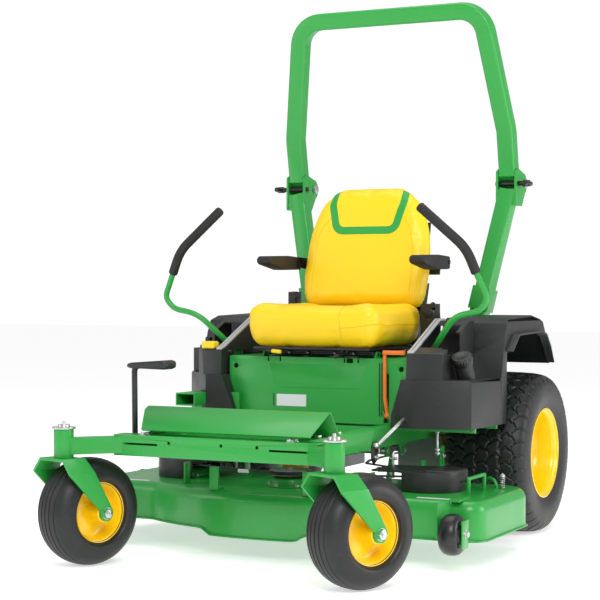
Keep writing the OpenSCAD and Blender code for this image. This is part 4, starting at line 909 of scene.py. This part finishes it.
# lift linkage and its rods
for side, s in (("left", 1), ("right", -1)):
    crank = prism(side + "BellCrank", [(-742, 346), (-728, 364), (-704, 362), (-690, 334), (-700, 300),
                                       (-722, 290),
                                       (-738, 306)], "x", s * 283, s * 289)
    softenEdges(crank, 0.0012)
    dress(crank, "blackPaint", "chassis")
    dress(hexBolt(side + "CrankBolt", at(s * 289, -722, 350), (s, 0, 0), 9, 7, True, 4), "zincSteel",
          "chassis")
    dress(hexBolt(side + "CrankPin", at(s * 289, -712, 310), (s, 0, 0), 8, 6, True, 3), "zincSteel",
          "chassis")
    rodPiece(side + "LiftRod", [(s * 298, -724, 350), (s * 344, -612, 430)], fittings["rod"], "zincSteel",
             "chassis")
    rodPiece(side + "LiftEye", [(s * 288, -727, 350), (s * 304, -721, 350)], 10, "zincSteel", "chassis")
    rodPiece(side + "HangRod", [(s * 404, -470, 300), (s * 404, -470, 398)], fittings["thinRod"],
             "zincSteel", "chassis")
    for k, z in enumerate((306, 318, 378)):
        dress(hexBolt("%sHangNut%d" % (side, k), at(s * 404, -470, z), (0, 0, 1), 8, 7, False), "zincSteel",
              "chassis")
    plate = prism(side + "SlotPlate", [(-392, 246), (-352, 246), (-352, 320), (-372, 326), (-392, 316)],
                  "x",
                  s * 378, s * 383)
    cutWith(plate, prism("slot", [(-376, 262), (-368, 262), (-368, 306), (-376, 306)], "x", s * 376,
                         s * 386))
    dress(plate, "greenPaint", "deck")
    dress(hexBolt(side + "SlotBolt", at(s * 383, -372, 292), (s, 0, 0), 9, 7, True, 4), "zincSteel", "deck")
    rodPiece(side + "Stay", [(s * 292, -577, 232), (s * 292, -577, 316)], 4.5, "zincSteel", "deck")
    rodPiece(side + "StayCross", [(s * 280, -577, 296), (s * 306, -577, 296)], 5, "zincSteel", "deck")
    coilSpring(side + "DeckSpring", (s * 268, -650, 266), (s * 392, -486, 254), fittings["coil"],
               fittings["wire"],
               34, "blackPaint", "deck")
    hanger = prism(side + "Hanger", [(-476, 340), (-404, 340), (-420, 300), (-434, 292), (-452, 300)], "x",
                   s * 262, s * 268)
    softenEdges(hanger, 0.001)
    dress(hanger, "greenPaint", "chassis")
    dress(hexBolt(side + "HangerBolt", at(s * 268, -437, 312), (s, 0, 0), 9, 7, True, 4), "zincSteel",
          "chassis")
    coilSpring(side + "PostSpring", (s * 640, -500, 210), (s * 640, -500, 246), 8, 1.6, 6, "zincSteel",
               "deck")
    dress(hexBolt(side + "PostNut", at(s * 640, -500, 246), (0, 0, 1), 8, 7, True, 3), "zincSteel", "deck")
rodPiece("bentRod", [(438, -498, 257), (420, -506, 256), (424, -516, 236), (464, -566, 214),
                     (502, -590, 214)], 5,
         "deckGreen", "deck", 0.008)
rodPiece("liftLoop", [(560, -447, 206), (564, -452, 226), (588, -474, 240), (612, -490, 232),
                      (620, -494, 206)], 5,
         "deckGreen", "deck", 0.02)
dress(prism("deckLabel", [(482, -842), (610, -842), (606, -822), (480, -822)], "z", 207.6, 208.7),
      "labelWhite", "deck")
dress(prism("rearLabel", [(-482, -842), (-560, -842), (-560, -822), (-482, -822)], "z", 207.6, 208.7),
      "labelWhite",
      "deck")
dress(prism("coverLabel", [(-158, 250), (-118, 250), (-118, 262), (-158, 262)], "y", -812, -811),
      "labelWhite", "deck")

# anti-scalp wheels and their outer plates
for side, s in (("left", 1), ("right", -1)):
    puck = lathe(side + "DeckRoller", [(-32, 12), (-32, 30), (-28, 34), (-30, 44), (-27, 52), (-20, 58.5),
                                       (-9, 61.6),
                                       (0, 62), (9, 61.6), (20, 58.5), (27, 52), (30, 44), (28, 34),
                                       (32, 30),
                                       (32, 12)], 72)
    dress(shift(puck, at(s * 652, -975, 124)), "smoothBlack", side + "_roller", [side + "_deck_wheel"])
    outer = prism(side + "RollerPlate", [(-1002, 90), (-996, 84), (-960, 84), (-954, 90), (-948, 168),
                                         (-1002, 168)],
                  "x", s * 689, s * 694)
    softenEdges(outer, 0.001)
    dress(outer, "deckGreen", "deck")
    dress(hexBolt(side + "RollerBolt", at(s * 694, -977, 128), (s, 0, 0), 10, 8, True, 0), "zincSteel",
          "deck")

pedalPad = roundedPad("pedalPad", (146, 74, 30), 13, 10, lambda p: Vector(
    (p.x, p.y * (0.86 + 0.14 * (p.x + 73) / 146), p.z * (0.55 + 0.45 * (p.x + 73) / 146) + 0.03 * p.x)))
for f in pedalPad.data.polygons:
    f.use_smooth = True
shift(pedalPad, at(-268, -1172, 612))
pedalLine = filletPath([at(-330, -1165, 372), at(-333, -1165, 604), at(-300, -1168, 612)], 0.02)
pedalArm = tube("pedalArm", pedalLine, 0.009, 16)
pedalHub = lathe("pedalHub", [(-10, 8.2), (-10, 17), (-8, 18), (8, 18), (10, 17), (10, 8.2)], 36)
shift(pedalHub, at(-330, -1165, 372))
dress(join("liftPedal", [pedalPad, pedalArm, pedalHub]), "blackPlastic", "pedal", ["lift_pedal"])

# armrests: a wedge with soft edges and a flatter end
for side, s in (("left", 1), ("right", -1)):
    rest = prism(side + "Armrest", [(-134, 921), (-134, 966), (-230, 970), (-372, 966), (-384, 957),
                                    (-384, 943),
                                    (-372, 936), (-258, 918)], "x", s * 263, s * 319)
    softenEdges(rest, 0.011, 5)
    bake(rest)
    cutWith(rest, shift(lathe("bore", [(-40, 0.01), (-40, 8.4), (40, 8.4), (40, 0.01)], 24),
                        at(s * 291, -150, 946)))
    dress(rest, "foam", side + "_arm", [side + "_armrest"])

# belt cover lids, fuel filler and engine dressing
for side, s in (("left", 1), ("right", -1)):
    lid = prism(side + "CoverLid", [(s * 452, -704), (s * 520, -700), (s * 556, -640), (s * 552, -574),
                                    (s * 500, -540),
                                    (s * 452, -556)], "z", 236, 278)
    softenEdges(lid, 0.007, 4)
    dress(lid, "blackPlastic", "deck")
    # black strips on each lid face are painted shade standing in for the lid slot openings
    for k in range(2):
        dress(prism("%sLidSlot%d" % (side, k),
                    [(s * 466, 250 + 9 * k), (s * 508, 250 + 9 * k), (s * 508, 254 + 9 * k),
                                                (s * 466, 254 + 9 * k)], "y", -703.6, -700), "blackPaint",
                                                "deck")
filler = lathe("fillerGrip", [(0, 0.01), (0, 33), (3, 35), (16, 35), (20, 32), (21, 26), (18, 12),
                              (18, 0.01)], 144,
               lambda turn, along, out: np.where(out > 0.0345, 0.0009 * np.cos(turn * 24), 0 * turn))
filler.data.transform(Matrix.Rotation(-math.pi / 2, 4, "Y"))
filler.data.transform(Matrix.Rotation(math.radians(30), 4, "X"))
dress(shift(filler, at(505, -507, 616)), "smoothBlack", "cap")
fins = [prism("fin", [(-150, z), (150, z), (150, z + 3), (-150, z + 3)], "y", 356, 366)
        for z in range(470, 596, 14)]
dress(join("coolingFins", fins), "castMetal", "chassis")
screen = [lathe("ring", [(-1.5, r), (-1.5, r + 3), (1.5, r + 3), (1.5, r)], 64) for r in range(20, 110, 12)]
for r in screen:
    r.data.transform(Matrix.Rotation(-math.pi / 2, 4, "Y"))
    shift(r, at(0, 190, 736))
spoke = prism("spoke", [(-112, 188), (112, 188), (112, 192), (-112, 192)], "z", 733, 737)
dress(join("airScreen", screen + [spoke]), "blackPaint", "chassis")
rodPiece("fuelHose", [(420, -180, 520), (330, -60, 560), (220, 60, 620), (150, 120, 640)], 5, "tyreRubber",
         "chassis", 0.05)
rodPiece("oilFiller", [(-120, 60, 560), (-180, 20, 640), (-196, 10, 690)], 12, "blackPaint", "chassis",
         0.03)
for s in (-1, 1):
    rodPiece("hydroHose%d" % (s + 1), [(s * 180, 40, 330), (s * 120, 120, 420), (s * 60, 60, 440),
                                       (s * 40, -40, 420)], 8, "tyreRubber", "chassis", 0.06)
    for k, y in enumerate((-1215, -1245)):
        dress(hexBolt("axleBolt%d%d" % (s + 1, k), at(s * 250, y, 402), (0, 0, 1), 11, 6), "zincSteel",
              "chassis")
print("stage: fittings")

# Everything else keeps its own shape, with softened edges.
kept = {  # node: finish, edge radius in mm
    "main_frame": ("greenPaint", 1.6), "front_axle": ("greenPaint", 2.2),
    "toe_guard": ("greenPaint", 1.2), "seat_box": ("greenPaint", 1.3),
    "left_fender": ("blackPlastic", 2.4), "right_fender": ("blackPlastic", 2.4),
    "lever_guides": ("greyPlastic", 0.8), "rops_posts": ("greenPaint", 1.4),
    "engine_block": ("castMetal", 1.5), "engine_shroud": ("smoothBlack", 1.6),
    "muffler": ("darkSteel", 2.0), "transaxles": ("castMetal", 2.5),
    "fuel_tank": ("tank", 5), "battery": ("smoothBlack", 3),
    "control_panel": ("blackPlastic", 2), "hardware": ("zincSteel", 0.7),
    "left_caster_fork": ("greenPaint", 2.0), "right_caster_fork": ("greenPaint", 2.0),
    "left_control_arm": ("zincSteel", 1), "right_control_arm": ("zincSteel", 1),
    "roll_bar": ("greenPaint", 0), "left_lock_pin": ("smoothBlack", 1.5),
    "right_lock_pin": ("smoothBlack", 1.5), "seat_plate": ("blackPaint", 1),
    "seat_frame": ("blackPaint", 1.6),
    "slide_lever": ("smoothBlack", 0.6), "buckle_button": ("redPlastic", 1.6),
    "deck_brackets": ("greenPaint", 1.0), "belt_covers": ("blackPlastic", 1.6),
    "discharge_chute": ("blackPlastic", 1.6), "left_blade": ("darkSteel", 0.6),
    "center_blade": ("darkSteel", 0.6), "right_blade": ("darkSteel", 0.6),
    "belts": ("tyreRubber", 0.6), "lift_shaft": ("zincSteel", 1),
    "transport_lock": ("orangePaint", 3), "fuel_cap": ("smoothBlack", 2),
    "throttle_lever": ("smoothBlack", 1.5), "engine_pulley": ("darkSteel", 0.6)}
for node, (look, width) in kept.items():
    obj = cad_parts[node]
    obj.data.materials.clear()
    obj.data.materials.append(finish(look))
    weld = obj.modifiers.new("weld", "WELD")
    weld.merge_threshold = surface["weld"]
    if "custom_normal" in obj.data.attributes:
        obj.data.attributes.remove(obj.data.attributes["custom_normal"])
    if width:
        softenEdges(obj, width / 1000, 3 if width > 2 else 2)
    shadeCrisp(obj)
print("stage: kept pieces")
